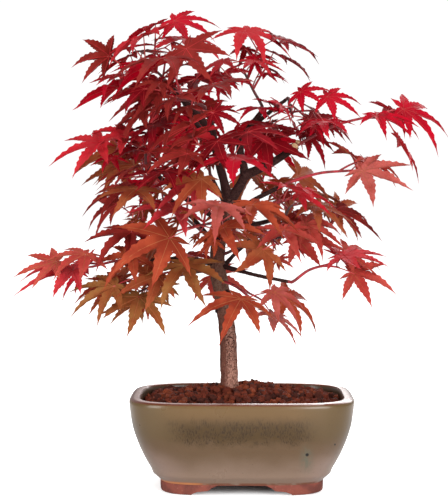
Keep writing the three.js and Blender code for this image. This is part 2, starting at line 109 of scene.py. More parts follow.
# The soil's heights at its edge and top, its rise towards the trunk, and its reach.
SOIL_EDGE = 54
SOIL_TOP = 64.4
SOIL_RISE = 12
SOIL_RADIUS = 67

# The granules: how far apart they lie, their size and how many shapes they have. Each tone has
# the colour and the highest draw that picks it.
GRANULE_STEP = 3.5
GRANULE_SIZE = (2.9, 5.4)
GRANULE_SHAPES = 8
GRANULE_TONES = {"brown": ((98, 39, 23), 0.5), "orange": ((120, 54, 31), 0.78), "dark": ((68, 28, 18), 1)}
GRANULE_SCATTER = 0.7  # of one from its place, in steps
GRANULE_RISE = 0.6  # of its middle over the bed
HEAPED_RISE = (2.6, 4.2)  # of those in the upper layer
HEAPED_SHARE = (0.42, 0.27)  # of its places that have one, in the middle and at the pot's wall
SOIL_COVERED = 0.965  # share of the way to the pot's wall that has granules
TRUNK_ROOM = 7.6  # round the trunk's middle, without granules

GAP = 0.3  # between a stem and the limb that carries it
CLEARANCE = 0.35  # that growth keeps from what is there already

# The wood, as in the solids: parent, share of it where a limb starts, the points that it bends
# through, and its radius at its root and tip.
LIMBS = {
    "trunk": (None, 0, [(-8.2, 0, 61.4), (-10, 1, 108), (-16.6, 3, 154), (-8.2, 1, 193)], (5.9, 5.0)),
    "left_leader": ("trunk", 0.985, [(-15, 0, 216), (-22, -2, 239), (-46, -4, 267)], (3.4, 1.7)),
    "right_leader": ("trunk", 0.985, [(1.5, 1, 209), (-1, 3, 230), (13, 4, 252)], (3.6, 1.7)),
    "right_bough": ("right_leader", 0.3, [(21, -2, 218), (37, -4, 229)], (3, 2.4)),
    "top_bough": ("right_leader", 0.75, [(16, 14, 250), (30, 16, 261)], (1.8, 1.2)),
    "back_leader": ("left_leader", 0.45, [(-32, 20, 246), (-42, 36, 262)], (1.9, 1.2)),
    "front_leader": ("left_leader", 0.4, [(-19, -16, 240), (-24, -28, 252)], (1.8, 1.2)),
    "left_bough": ("trunk", 0.88, [(-38, -5, 194), (-62, -9, 214)], (2.5, 1.3)),
    "left_low_bough": ("trunk", 0.66, [(-38, -8, 153), (-64, -12, 152)], (1.8, 1.2)),
    "left_back_bough": ("trunk", 0.74, [(-34, 24, 180), (-54, 40, 196)], (2, 1.2)),
    "right_fork": ("trunk", 0.9, [(7, -7, 192), (29, -14, 203)], (1.9, 1.2)),
    "right_mid_bough": ("trunk", 0.86, [(8, 12, 176), (28, 28, 180)], (1.8, 1.2)),
    "right_low_bough": ("trunk", 0.66, [(10, -7, 142), (31, -10, 138)], (1.7, 1.1)),
    "back_bough": ("trunk", 0.8, [(-10, 26, 190), (-14, 46, 212)], (2, 1.2)),
    "back_low_bough": ("trunk", 0.62, [(-2, 22, 158), (10, 42, 168)], (1.7, 1.1)),
    "front_bough": ("trunk", 0.95, [(-14, -16, 196), (-20, -30, 208)], (1.7, 1.1)),
    "front_low_bough": ("trunk", 0.78, [(-14, -16, 170), (-18, -28, 176)], (1.6, 1.1)),
}
TRUNK_FLARE = 2.6  # extra radius at the ground
FLARE_HEIGHT = 9
# The pruned stub on the right bough and the scars low on the trunk: share, radius and reach.
STUB = (0.93, 2.7, (0.6, -5.2, 0.8))
SCARS = [(0.42, 2.6, (-5.4, -1.5, 1)), (0.515, 2.2, (5, -4.4, 0.5)), (0.6, 2.0, (-3.4, -5.6, 1.2))]
# Their width, as shares of the radius, at shares of their reach.
STUB_SHAPE = [(0, 1.25), (0.5, 1), (1, 0.95)]
SCAR_SHAPE = [(0, 1.3), (0.7, 1), (1.12, 0.8)]
TWIG_CUT = (1, 1.5, (0.5, -2.2, 2.6))  # a sawn twig at the right bough's tip
CUT_THICKNESS = 0.5
# The collar where a limb leaves its parent: extra width, as a share, and how soon it fades.
COLLAR_SWELL = 0.35
COLLAR_LENGTH = 4.5
# The bark's relief: how far its ridges and bulges rise and its pores sink, and from what level
# of their noise. The boughs have a share of it, and are darker.
RIDGES = 0.35
BULGES = 0.7
PORES = 0.55
PORES_FROM = 0.28
BOUGH_RELIEF = 0.4
BOUGH_DARKNESS = 0.9
# Length of the wood's faces and how round it is, for the trunk and the boughs.
TRUNK_DETAIL = (0.7, 26)
BOUGH_DETAIL = (0.9, 8)

# The masses of foliage, as in the solids: limb, stem's tip, side shoots, length of the leaves,
# how far they hang and face outwards, seed, share of the stem that is bare, and for a stem on
# the side of the trunk its share and side.
MASSES = {
    "crown_left": ("left_leader", (-64, -14, 283), 4, 39, 0.1, 0.4, 3),
    "crown_top": ("right_leader", (2, -8, 277), 3, 37, 0.3, 0.5, 7, 0.5),
    "crown_right": ("top_bough", (34, -2, 249), 3, 36, 0.4, 0.6, 11),
    "crown_front": ("front_leader", (-42, -44, 258), 3, 42, 0.3, 0.7, 71),
    "crown_back": ("back_leader", (-46, 50, 272), 2, 39, 0.3, 0.5, 5),
    "right_tip": ("right_bough", (86, -22, 248), 1, 41, 0.7, 0.6, 13, 0.8),
    "right_spray": ("right_fork", (72, -20, 212), 1, 39, 0.4, 0.8, 17, 0.7),
    "right_inner": ("trunk", (28, -26, 192), 1, 37, 0.4, 0.9, 73, 0.32, 0.84, (1, -0.4, 0.5)),
    "right_back": ("right_mid_bough", (38, 48, 190), 2, 38, 0.5, 0.6, 19),
    "right_low": ("trunk", (28, -20, 168), 2, 36, 0.4, 0.9, 79, 0.32, 0.7, (1, -0.5, 0.4)),
    "right_low_tip": ("right_low_bough", (58, -16, 150), 1, 38, 0.0, 0.6, 23, 0.6),
    "left_upper": ("left_bough", (-66, -20, 232), 3, 38, 0.2, 0.5, 29),
    "left_middle": ("trunk", (-66, -26, 194), 4, 38, 0.3, 0.7, 31, 0.32, 0.79, (-1, -0.5, 0.2)),
    "left_low_tip": ("left_low_bough", (-100, -14, 148), 1, 36, 0.3, 0.6, 37, 0.7),
    "left_low": ("trunk", (-68, -26, 132), 3, 39, 0.7, 0.8, 61, 0.32, 0.62, (-1, -0.5, 0.2)),
    "left_back": ("left_back_bough", (-72, 46, 212), 3, 38, 0.3, 0.6, 41),
    "left_back_low": ("trunk", (-46, 46, 152), 2, 38, 0.5, 0.7, 83, 0.32, 0.64, (-0.6, 1, 0.3)),
    "front_upper": ("front_bough", (-22, -48, 222), 3, 38, 0.4, 0.7, 43),
    "front_low": ("front_low_bough", (-26, -46, 176), 3, 40, 0.6, 0.7, 47),
    "front_foot": ("trunk", (5, -30, 129), 1, 38, 1.1, 0.7, 67, 0.32, 0.56, (0.5, -1, 0.3)),
    "back_upper": ("back_bough", (-18, 62, 236), 2, 39, 0.5, 0.7, 53),
    "back_low": ("back_low_bough", (16, 60, 172), 2, 38, 0.6, 0.8, 59),
}
LIGHT = 0.8  # how far a leaf's face is turned up to the light
FORWARD = 0.6  # how far it is turned to the front, or to the back on the masses behind
REACH = 1.8  # of a mass from its middle, in lengths of its leaves
STEM_RADII = (1.1, 0.8)
STEM_BARE = 0.32
STEM_ARCH = 0.06  # rise of its middle, as a share of its length
SHOOT_LENGTH = (14, 22)
SHOOT_ANGLE = 52
SHOOT_RADIUS = 0.8
LAST_SHOOT = 0.94  # share of the stem
NODE_STEP = 1.6  # between the two leaves of a pair
PETIOLE_RADIUS = 0.55
PETIOLE_SHARE = (0.35, 0.6)
PETIOLE_ANGLE = 48
PETIOLE_SWING = (0.8, 1.4)  # times that angle
PETIOLE_RISE = 0.25
LEAF_SIZE = (0.74, 1.08)
# How far a blade points along its stalk, away from the trunk and down, and how far it strays.
ALONG_STALK = 0.8
OUTWARDS = 0.6
DOWNWARDS = 0.4
STRAY_DOWN = 0.35
STRAY = 0.7
FACE_OUTWARDS = 0.8
HANG = (0.03, 0.28)  # how far a blade bends down to its tips
SPREAD = (0.92, 1.12)  # how far its lobes spread
FREEDOM = 0.12  # that each further attempt gives a leaf to turn
ATTEMPTS = 30  # to find room for a leaf
LOWEST_LEAF = 74
BACK_MASSES = 30  # distance behind the pot's middle from which a mass faces the back
FINE_LENGTH = (5, 11)
FINE_RADII = (0.6, 0.4)
FINE_ANGLE = (40, 70)
FINE_LEAF = (0.44, 0.68)  # size of the leaves on finer twigs
OPEN_BELOW = 225  # under this height the crown is more open
OPEN_LEAF = 0.6  # size there of the leaves on finer twigs

# A leaf's lobes by their turn from the middle one, and by length and half width as shares of
# the leaf's length.
LOBES = [
    (130, 0.34, 0.06),
    (84, 0.68, 0.08),
    (42, 0.9, 0.097),
    (0, 1, 0.097),
    (-42, 0.9, 0.097),
    (-84, 0.68, 0.08),
    (-130, 0.34, 0.06),
]
LOBE_BELLY = 0.46  # share of a lobe's length where it is widest
# How far the blade reaches from the stalk between two lobes and behind the stalk.
NOTCH = 0.26
BASAL_NOTCH = NOTCH * 0.6
HEEL = 0.07
LEAF_MIDDLE = 0.1
LEAF_THICKNESS = 0.04

# The blade in full detail. Its lengths are shares of the leaf's length.
LOBE_TURNS = [360 - LOBES[0][0], *[turn for turn, _, _ in LOBES], LOBES[0][0] - 360]
LOBE_NOTCHES = [HEEL, BASAL_NOTCH, NOTCH, NOTCH, NOTCH, NOTCH, BASAL_NOTCH, HEEL]
PALM_ROWS = 2  # rows of faces where a lobe is joined to its neighbours
PALM_REACH = 0.8  # of those rows along the vein, as a share of their reach at the notch
PALM_LEAST = 0.05
LOBE_ROWS = 14
BASAL_ROWS = 6
TAPER = 1.45  # how long pointed a lobe is
FULLNESS = 0.75
TOOTH_DEPTH = 0.024
TOOTH_LEAN = 0.016
FOLD = 0.42  # rise of the blade from a lobe's vein, as a share of the way from it
BLADE = 0.008  # thickness at the veins
VEIN_MARKS = (0.03, 0.2, 0.36, 0.5, 0.62, 0.74, 0.86)  # shares of a lobe's length
VEIN_RADII = (0.0115, 0.0065)

# How far leaves differ from each other.
CURL = 0.7  # of a lobe's tip downwards
CURL_FROM = 0.45
SWAY = 0.3  # of a lobe's tip to one side
STRETCH = 0.16  # of a lobe's length
STRETCH_ALONG = (0.3, 0.7)  # where it sets in and where it is full
FOLDING = (0.6, 1.5)  # times the fold
TWIST = 0.5
RIPPLE = 0.012
RIPPLE_WAVES = (23, 19)
RIPPLE_CLEAR = 0.06  # of the veins

# The twigs as they are drawn: two tones, how round they are, and the solids' material.
TWIGS = {
    "stems": ((88, 26, 28), (62, 28, 26), 2, "bark"),
    "shoots": ((164, 36, 46), (116, 32, 36), 2, "bark"),
    "leaf_stalks": ((176, 48, 56), (196, 92, 84), 1, "leaf"),
}
STEM_STEPS = 14
# Their radii at root and tip.
SHOOT_DRAWN = (0.8, 0.62)
BUD_DRAWN = (0.75, 0.3)
BUD_LENGTH = 2.4
FINE_DRAWN = (0.55, 0.4)
STALK_DRAWN = (0.5, 0.34)
STALK_HEEL = (-0.3, 0.62)  # place before the stalk's root, and radius

# The autumn tints, each with the tone of the soft patches in it, as sRGB colours.
TINTS = {
    "crimson": ((190, 8, 37), (148, 16, 31)),
    "dark_crimson": ((142, 14, 28), (106, 18, 22)),
    "rose": ((190, 32, 44), (198, 54, 60)),
    "brown_red": ((148, 46, 40), (118, 30, 28)),
    "pink_red": ((206, 64, 70), (182, 40, 48)),
    "coral": ((188, 78, 68), (170, 52, 48)),
    "orange_red": ((172, 74, 48), (138, 48, 34)),
    "rust": ((164, 86, 52), (146, 48, 34)),
    "olive_brown": ((150, 98, 54), (140, 60, 34)),
    "faded_pink": ((186, 94, 86), (156, 62, 54)),
}
# The veins' tones, each with the tints that it goes with.
VEIN_TONES = {
    "veins_red": ((190, 54, 56), ("crimson", "dark_crimson", "rose", "brown_red", "pink_red")),
    "veins_amber": ((182, 104, 68), ("coral", "orange_red", "rust", "olive_brown", "faded_pink")),
}
# The tints that each spray's leaves are dealt from.
SPRAY_TINTS = {
    "crown_left": ["crimson", "rose", "crimson", "brown_red", "rose"],
    "crown_top": ["crimson", "dark_crimson", "crimson", "rose"],
    "crown_right": ["crimson", "dark_crimson", "crimson"],
    "crown_front": ["brown_red", "dark_crimson", "brown_red"],
    "crown_back": ["dark_crimson", "crimson", "brown_red"],
    "right_tip": ["crimson", "crimson", "rose"],
    "right_spray": ["pink_red", "faded_pink", "coral"],
    "right_inner": ["crimson", "rose", "rust"],
    "right_back": ["brown_red", "rose", "rust"],
    "right_low": ["rust", "orange_red", "brown_red", "coral"],
    "right_low_tip": ["coral", "pink_red"],
    "left_upper": ["crimson", "brown_red", "rose", "dark_crimson"],
    "left_middle": ["crimson", "pink_red", "rust", "brown_red"],
    "left_low_tip": ["pink_red", "coral", "rose"],
    "left_low": ["olive_brown", "rust", "orange_red", "olive_brown"],
    "left_back": ["dark_crimson", "brown_red", "rust"],
    "left_back_low": ["rust", "brown_red", "coral"],
    "front_upper": ["crimson", "brown_red", "dark_crimson"],
    "front_low": ["orange_red", "rust", "faded_pink"],
    "front_foot": ["orange_red", "faded_pink"],
    "back_upper": ["crimson", "brown_red", "dark_crimson"],
    "back_low": ["rust", "orange_red", "brown_red"],
}


def placed(point):
    return (Vector(point) + POT_MIDDLE / MM) * MM


def between(ends, share):
    return ends[0] + (ends[1] - ends[0]) * share


def seeded(seed):
    """Random numbers from 0 to 1 that are the same on every run."""
    word = 0xFFFFFFFF
    state = seed & word

    def draw():
        nonlocal state
        state = (state + 0x6D2B79F5) & word
        mixed = ((state ^ (state >> 15)) * (state | 1)) & word
        mixed ^= (mixed + (mixed ^ (mixed >> 7)) * (mixed | 61)) & word
        return ((mixed ^ (mixed >> 14)) & word) / 2**32

    return draw


# Finishes


def linear(colour):
    """An sRGB colour, 0 to 255, as the linear colour that shaders take."""
    values = [c / 255 for c in colour]
    return (*[c / 12.92 if c <= 0.04045 else ((c + 0.055) / 1.055) ** 2.4 for c in values], 1)


def dimmed(colour, level):
    """A linear colour at a share of its light."""
    return (*[c * level for c in colour[:3]], 1)


class Value:
    """A shader socket that takes part in sums. Each operator adds its Math node."""

    def __init__(self, finish, socket):
        self.finish = finish
        self.socket = socket

    def sum(self, operation, *values):
        return self.finish.node("Math", {"operation": operation}, dict(enumerate(values)))

    def __add__(self, other):
        return self.sum("ADD", self, other)

    def __sub__(self, other):
        return self.sum("SUBTRACT", self, other)

    def __mul__(self, other):
        return self.sum("MULTIPLY", self, other)

    def __radd__(self, other):
        return self.sum("ADD", other, self)

    def __rsub__(self, other):
        return self.sum("SUBTRACT", other, self)

    def __rmul__(self, other):
        return self.sum("MULTIPLY", other, self)

    def __truediv__(self, other):
        return self.sum("DIVIDE", self, other)

    def __pow__(self, other):
        return self.sum("POWER", self, other)

    def size(self):
        return self.sum("ABSOLUTE", self)

    def highest(self, other):
        return self.sum("MAXIMUM", self, other)

    def lowest(self, other):
        return self.sum("MINIMUM", self, other)

    def ramp(self, low, high):
        """0 below low and 1 above high, or the other way round where low is the higher."""
        settings = {"interpolation_type": "SMOOTHSTEP"}
        if low < high:
            return self.finish.node("MapRange", settings, {0: self, 1: low, 2: high})
        return 1 - self.finish.node("MapRange", settings, {0: self, 1: high, 2: low})


class Finish:
    """A material, with one way to add any node to it."""

    def __init__(self, name):
        self.material = bpy.data.materials.new(name)
        self.material.use_nodes = True
        self.tree = self.material.node_tree
        self.shader = self.tree.nodes["Principled BSDF"]

    def node(self, kind, settings=None, inputs=None, output=0):
        made = self.tree.nodes.new("ShaderNode" + kind)
        for setting, given in (settings or {}).items():
            setattr(made, setting, given)
        for key, given in (inputs or {}).items():
            self.feed(made.inputs[key], given)
        return Value(self, made.outputs[output])

    def feed(self, socket, given):
        if isinstance(given, Value):
            self.tree.links.new(given.socket, socket)
        else:
            socket.default_value = given

    def surface(self, **inputs):
        """Sets the main shader's sockets, whose names are given with _ for a space."""
        for key, given in inputs.items():
            self.feed(self.shader.inputs[key.replace("_", " ")], given)
        return self

    def where(self, *stretch):
        """The place from the pot's middle in millimetres, shrunk along each axis by a stretch."""
        place = self.node("TexCoord", output=3)
        scale = [1 / MM / s for s in (stretch or (1, 1, 1))]
        back = [-m * s for m, s in zip(POT_MIDDLE, scale)]
        return self.node("VectorMath", {"operation": "MULTIPLY_ADD"}, {0: place, 1: scale, 2: back})

    def axis(self, number):
        return self.node("SeparateXYZ", None, {0: self.where()}, number)

    def across(self):
        return self.axis(0)

    def behind(self):
        return self.axis(1)

    def height(self):
        return self.axis(2)

    def inwards(self):
        """1 on faces that look towards the pot's middle."""
        looks = self.node("TexCoord", output=1)
        out = self.node("VectorMath", {"operation": "DOT_PRODUCT"}, {0: looks, 1: self.where()}, 1)
        return out.ramp(0, -12)

    def spot(self, centre, reach):
        """A round patch on the front, at a place and with a reach along X and Z: 1 to 0."""
        along = (self.across() - centre[0]) / reach[0]
        up = (self.height() - centre[1]) / reach[1]
        away = (along**2 + up**2) ** 0.5
        return away.ramp(1, 0) * self.behind().ramp(-20, -30)

    def noise(self, place, size, detail=3, roughness=0.5):
        inputs = {"Vector": place, "Scale": 1 / size, "Detail": detail, "Roughness": roughness}
        return self.node("TexNoise", None, inputs)

    def painted(self, colour, *layers):
        """A colour with others laid over it in turn, each by a share from 0 to 1. A colour of
        three numbers is sRGB."""
        for tone, share in layers:
            both = [linear(c) if isinstance(c, tuple) and len(c) == 3 else c for c in (colour, tone)]
            colour = self.node("Mix", {"data_type": "RGBA"}, {0: share, 6: both[0], 7: both[1]}, 2)
        return colour

    def bump(self, height, depth, strength=1):
        """A relief with a height from 0 to 1 and a depth in millimetres."""
        return self.node("Bump", None, {"Strength": strength, "Distance": depth * MM, "Height": height})


def glaze_finish():
    """Celadon over a brown body: olive under the lip, a dark streaked band across the middle of each
    side, pinker and paler low down, thin and brown at its edges. Low on the ends a painted highlight
    makes it paler still, a painted reflection pales the lip's top, and painted shade darkens the inside
    under the lip."""
    finish = Finish("celadon_glaze")
    place, across, behind, height = finish.where(), finish.across(), finish.behind(), finish.height()
    clouds, mottle, wear_and_sheen = finish.noise(place, 26, 4), finish.noise(place, 5, 4), finish.noise(place, 7)
    beside = (across.size() / 72).lowest(behind.size() / 54) * 75
    ends = (beside + clouds * 24).ramp(46, 74)
    band = (height + mottle * 5).ramp(58, 48) * (height + mottle * 7).ramp(35, 45)
    band = band * (beside + clouds * 16).ramp(72, 44)
    streaks = finish.noise(finish.where(0.5, 0.5, 3), 1, 2, 0.6).ramp(0.51, 0.58)
    streaks = streaks * (height + mottle * 8).ramp(58, 50) * (height + mottle * 8).ramp(36, 42)
    streaks = streaks * (beside + clouds * 20).ramp(66, 46) * finish.noise(place, 9).ramp(0.36, 0.5)
    specks = finish.noise(place, 0.9, 2).ramp(0.68, 0.75)
    runs = finish.noise(finish.where(1.4, 1.4, 6), 1, 2).ramp(0.36, 0.56)
    stain = finish.spot((42, 25), (6.5, 14)) * (0.35 + 0.65 * runs)
    pinholes = finish.spot((42.2, 28.4), (1.7, 1.7)).highest(finish.spot((60.4, 34.2), (1, 1)))
    rim = height.ramp(60.4, 61.2) * (1 - height.ramp(61.6, 61.9) * 0.6)
    # The lip's top, more so towards the ends: where a painted pale reflection of the bright room lies, in
    # patches.
    top = height.ramp(61.5, 61.9) * (0.5 + 0.5 * beside.ramp(30, 66))
    foot = height.ramp(8.8, 7.8) * wear_and_sheen.ramp(0.3, 0.5)
    colour = finish.painted(
        (88, 67, 46),
        ((118, 97, 82), (height + clouds * 14).ramp(38, 20)),  # pinker low down
        ((98, 74, 44), height.ramp(42, 57)),  # olive under the lip
        ((64, 45, 14), band * 0.9),
        ((84, 66, 38), ends * height.ramp(32, 42) * 0.75),
        # painted highlight: pinker and paler low on the ends
        ((134, 112, 102), ends * (height + clouds * 16).ramp(44, 24) * 0.7),
        ((42, 26, 6), streaks * 0.95),
        ((66, 44, 28), specks * 0.6),
        ((84, 84, 70), stain * 0.8),
        ((16, 12, 8), pinholes.ramp(0.1, 0.5)),
        ((98, 48, 32), rim * wear_and_sheen.ramp(0.15, 0.45)),
        # painted reflection on the lip's top, in patches
        ((222, 196, 192), top * wear_and_sheen.ramp(0.2, 0.45)),
        # painted shade on the pot's inside, under the lip
        ((66, 48, 36), finish.inwards() * height.ramp(61.4, 60) * 0.85),
        ((104, 62, 42), foot),
        ((176, 112, 66), foot * across.ramp(-18, -34)),  # thicker and orange on the left
    )
    relief = finish.noise(place, 3.2, 2) * 0.6 + finish.noise(place, 0.7, 2) * 0.4
    finish.surface(
        Base_Color=colour,
        Roughness=0.22 + 0.16 * clouds + streaks * 0.4,
        Normal=finish.bump(relief - pinholes, 0.12, 0.5),
        Specular_IOR_Level=0.35,
        Coat_Weight=0.15,
        Coat_Roughness=0.14,
    )
    return finish.material


def terracotta_finish():
    finish = Finish("terracotta")
    place = finish.where()
    clouds, grain = finish.noise(place, 9, 4), finish.noise(place, 0.8, 3)
    colour = finish.painted(
        (118, 56, 42),
        ((90, 40, 30), clouds.ramp(0.35, 0.65)),
        ((190, 140, 118), grain.ramp(0.66, 0.75) * 0.5),
    )
    finish.surface(Base_Color=colour, Roughness=0.75 + 0.15 * grain, Normal=finish.bump(grain, 0.25, 0.6))
    return finish.material


def earth_finish():
    """The dark bed under the granules."""
    finish = Finish("moist_earth")
    grain = finish.noise(finish.where(), 2.2, 5, 0.7)
    colour = finish.painted((34, 14, 10), ((84, 36, 24), grain.ramp(0.35, 0.65)))
    finish.surface(Base_Color=colour, Roughness=0.95, Normal=finish.bump(grain, 1.2))
    return finish.material


def granule_finish(name, tone):
    finish = Finish(name)
    grain, clouds = finish.noise(finish.where(), 0.9, 4, 0.65), finish.noise(finish.where(), 6, 2)
    lighter = (grain * 0.6 + clouds * 0.4).ramp(0.34, 0.6)
    colour = finish.painted(dimmed(linear(tone), 0.42), (tone, lighter))
    relief = finish.bump(grain, 0.5)
    finish.surface(Base_Color=colour, Roughness=0.85 + 0.1 * grain, Normal=relief, Specular_IOR_Level=0.2)
    return finish.material


def bark_finish(name, darkness):
    """Pinkish bark with dark pits, red-brown and smoother on its left, where painted shade also darkens
    the side away from the key lamp, and paler at its foot. With some darkness it is the purple-brown of
    the boughs."""
    finish = Finish(name)
    height = finish.height()
    ridges = finish.noise(finish.where(0.9, 0.9, 1.6), 1, 5, 0.68)
    patches = finish.noise(finish.where(3, 3, 9), 1, 4)
    # The left side, away from the key lamp: partly the bark's own smoother red-brown, partly painted
    # shade.
    left = (finish.across() + patches * 5).ramp(-6.4, -9)
    foot = (height + patches * 20).ramp(98, 78) * (1 - left)
    pits = finish.noise(finish.where(1.3, 1.3, 1), 1, 2, 0.7).ramp(0.47, 0.41)
    smooth = finish.painted((94, 54, 43), ((78, 42, 34), patches.ramp(0.4, 0.6)))
    grey = height.ramp(112, 128) * (1 - height.ramp(140, 160))
    colour = finish.painted(
        (110, 70, 58),
        ((152, 112, 98), ridges.ramp(0.4, 0.6)),
        ((168, 124, 108), foot * ridges.ramp(0.35, 0.6) * 0.7),
        ((44, 22, 20), pits * (1 - foot * 0.6)),
        # the left's own red-brown with painted shade
        (smooth, left * 0.85),
        ((106, 82, 68), grey * ridges.ramp(0.35, 0.6) * 0.8),
        ((36, 15, 17), (height.ramp(150, 205) * 0.85).highest(darkness)),
    )
    finish.surface(
        Base_Color=colour,
        Roughness=0.65 + 0.25 * ridges,
        Normal=finish.bump(ridges * 0.6 + (1 - pits) * 0.4, 0.5, 0.9),
        Specular_IOR_Level=0.12,
    )
    return finish.material


def cut_wood_finish():
    """A sawn end: pale wood with a browner grain."""
    finish = Finish("cut_wood")
    grain = finish.noise(finish.where(), 0.8, 3)
    colour = finish.painted((206, 172, 132), ((168, 122, 84), grain.ramp(0.4, 0.65)))
    finish.surface(Base_Color=colour, Roughness=0.8, Normal=finish.bump(grain, 0.2))
    return finish.material


def twig_finish(name, tone, other):
    finish = Finish(name)
    patches = finish.noise(finish.where(), 5, 3)
    grain = finish.noise(finish.where(), 0.6, 2)
    finish.surface(
        Base_Color=finish.painted(tone, (other, patches.ramp(0.4, 0.65))),
        Roughness=0.4 + 0.2 * patches,
        Normal=finish.bump(grain, 0.08, 0.5),
    )
    return finish.material


def leaf_finish(name, tone, patch):
    """A tint of leaf with soft patches of another tone, both linear: a satin face that lets light
    through."""
    finish = Finish("leaf_" + name)
    place = finish.where()
    patches, grain = finish.noise(place, 15, 3), finish.noise(place, 1.4, 3)
    colour = finish.painted(
        tone,
        (patch, patches.ramp(0.4, 0.62) * 0.65),
        (dimmed(patch, 0.5), grain.ramp(0.52, 0.7) * 0.2),
    )
    normal = finish.bump(grain, 0.1, 0.5)
    finish.surface(Base_Color=colour, Normal=normal, Roughness=0.5, Specular_IOR_Level=0.06)
    face = Value(finish, finish.shader.outputs[0])
    lit = [min(1, c * 1.25 + 0.01) for c in tone[:3]] + [1]
    through = finish.node("BsdfTranslucent", None, {"Color": lit})
    whole = finish.node("MixShader", None, {0: 0.3, 1: face, 2: through})
    finish.feed(finish.tree.nodes["Material Output"].inputs["Surface"], whole)
    return finish.material


# Pieces


def put(name, data):
    """An object in the scene that shows the data given."""
    made = bpy.data.objects.new(name, data)
    bpy.context.scene.collection.objects.link(made)
    return made


def finished(name, mesh, material, slot, *nodes, sharp):
    """Makes a mesh of millimetres into a piece of the plant, which stands for the nodes given."""
    mesh.transform(INTO_FRAME)
    mesh.shade_smooth()
    mesh.set_sharp_from_angle(angle=math.radians(sharp))
    mesh.materials.clear()
    mesh.materials.append(material)
    mesh.name = name
    piece = put(name, mesh)
    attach(piece, "root")
    if nodes:
        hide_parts(*nodes)


def mesh_of(bm, name):
    mesh = bpy.data.meshes.new(name)
    bm.to_mesh(mesh)
    bm.free()
    return mesh


def mesh_from(shape):
    """An object's mesh with its modifiers or its bevel. The object itself is dropped."""
    bpy.context.view_layer.update()
    evaluated = shape.evaluated_get(bpy.context.evaluated_depsgraph_get())
    mesh = bpy.data.meshes.new_from_object(evaluated)
    bpy.data.objects.remove(shape)
    return mesh


def arrays_of(bm):
    """The corners and faces of a bmesh as arrays."""
    bm.verts.ensure_lookup_table()
    corners = np.array([v.co[:] for v in bm.verts])
    faces = np.array([[v.index for v in f.verts] for f in bm.faces])
    bm.free()
    return corners, faces


def joined_mesh(name, corners, faces):
    """One mesh from arrays of corners and of triangles or quads."""
    mesh = bpy.data.meshes.new(name)
    sides = faces.shape[1]
    mesh.vertices.add(len(corners))
    mesh.vertices.foreach_set("co", corners.astype(np.float32).ravel())
    mesh.loops.add(faces.size)
    mesh.loops.foreach_set("vertex_index", faces.astype(np.int32).ravel())
    mesh.polygons.add(len(faces))
    mesh.polygons.foreach_set("loop_start", np.arange(0, faces.size, sides, dtype=np.int32))
    mesh.update(calc_edges=True)
    mesh.validate()
    return mesh


# The pot


def squared(radius, angle):
    """A turned point pushed out from a circle to the pot's plan."""
    along = abs(math.cos(angle)) ** POT_CORNER
    across = abs(math.sin(angle) * POT_HALF_LENGTH / POT_HALF_DEPTH) ** POT_CORNER
    grown = radius * (along + across) ** (-1 / POT_CORNER)
    return grown * math.cos(angle), grown * math.sin(angle)


def turned(profile, closed):
    """A profile of radius and height spun about Z and squared to the pot's plan."""
    bm = bmesh.new()
    corners = [bm.verts.new((radius, 0, height)) for radius, height in profile]
    edges = [bm.edges.new(pair) for pair in zip(corners, corners[1:])]
    if closed:
        edges.append(bm.edges.new((corners[-1], corners[0])))
    turn = {"axis": (0, 0, 1), "cent": (0, 0, 0), "angle": 2 * math.pi, "steps": POT_STEPS}
    bmesh.ops.spin(bm, geom=corners + edges, use_merge=True, **turn)
    bmesh.ops.remove_doubles(bm, verts=bm.verts, dist=1e-4)
    for corner in bm.verts:
        radius = math.hypot(corner.co.x, corner.co.y)
        if radius > 1e-6:
            corner.co.x, corner.co.y = squared(radius, math.atan2(corner.co.y, corner.co.x))
    bmesh.ops.recalc_face_normals(bm, faces=bm.faces)
    return bm


def eased(points, steps):
    """A smooth line of radius and height through the points given."""
    curve = Curve([Vector((r, z, 0)) for r, z in points])
    line = [curve.at(i / steps) for i in range(steps + 1)]
    return [(p.x, p.y) for p in line]


def make_pot():
    foot = [(0, FOOT_HEIGHT), (FOOT_REACH - 0.3, FOOT_HEIGHT), (FOOT_REACH, FOOT_HEIGHT + 0.4)]
    inside = eased(POT_INSIDE, 20) + [(0, POT_FLOOR)]
    profile = foot + FOOT_COLLAR + eased(POT_WALL, 26) + POT_LIP + inside
    body = mesh_of(turned(profile, False), "pot_body")
    finished("glazed_pot", body, glaze_finish(), "pot_glaze", "pot", sharp=32)


def bracket_prism(reach, quarter):
    """What is cut away between two feet, through the whole pot."""
    bm = bmesh.new()
    half = [(share * reach, z) for share, z in FOOT_GAP]
    outline = half + [(-x, z) for x, z in reversed(half)]
    depth = 2 * POT_HALF_LENGTH
    face = bm.faces.new([bm.verts.new((x, -depth / 2, z)) for x, z in outline])
    grown = bmesh.ops.extrude_face_region(bm, geom=[face])["geom"]
    ends = [v for v in grown if isinstance(v, bmesh.types.BMVert)]
    bmesh.ops.translate(bm, verts=ends, vec=(0, depth, 0))
    bmesh.ops.rotate(bm, verts=bm.verts, cent=(0, 0, 0), matrix=Matrix.Rotation(quarter, 3, "Z"))
    bmesh.ops.recalc_face_normals(bm, faces=bm.faces)
    return mesh_of(bm, "foot_gap")


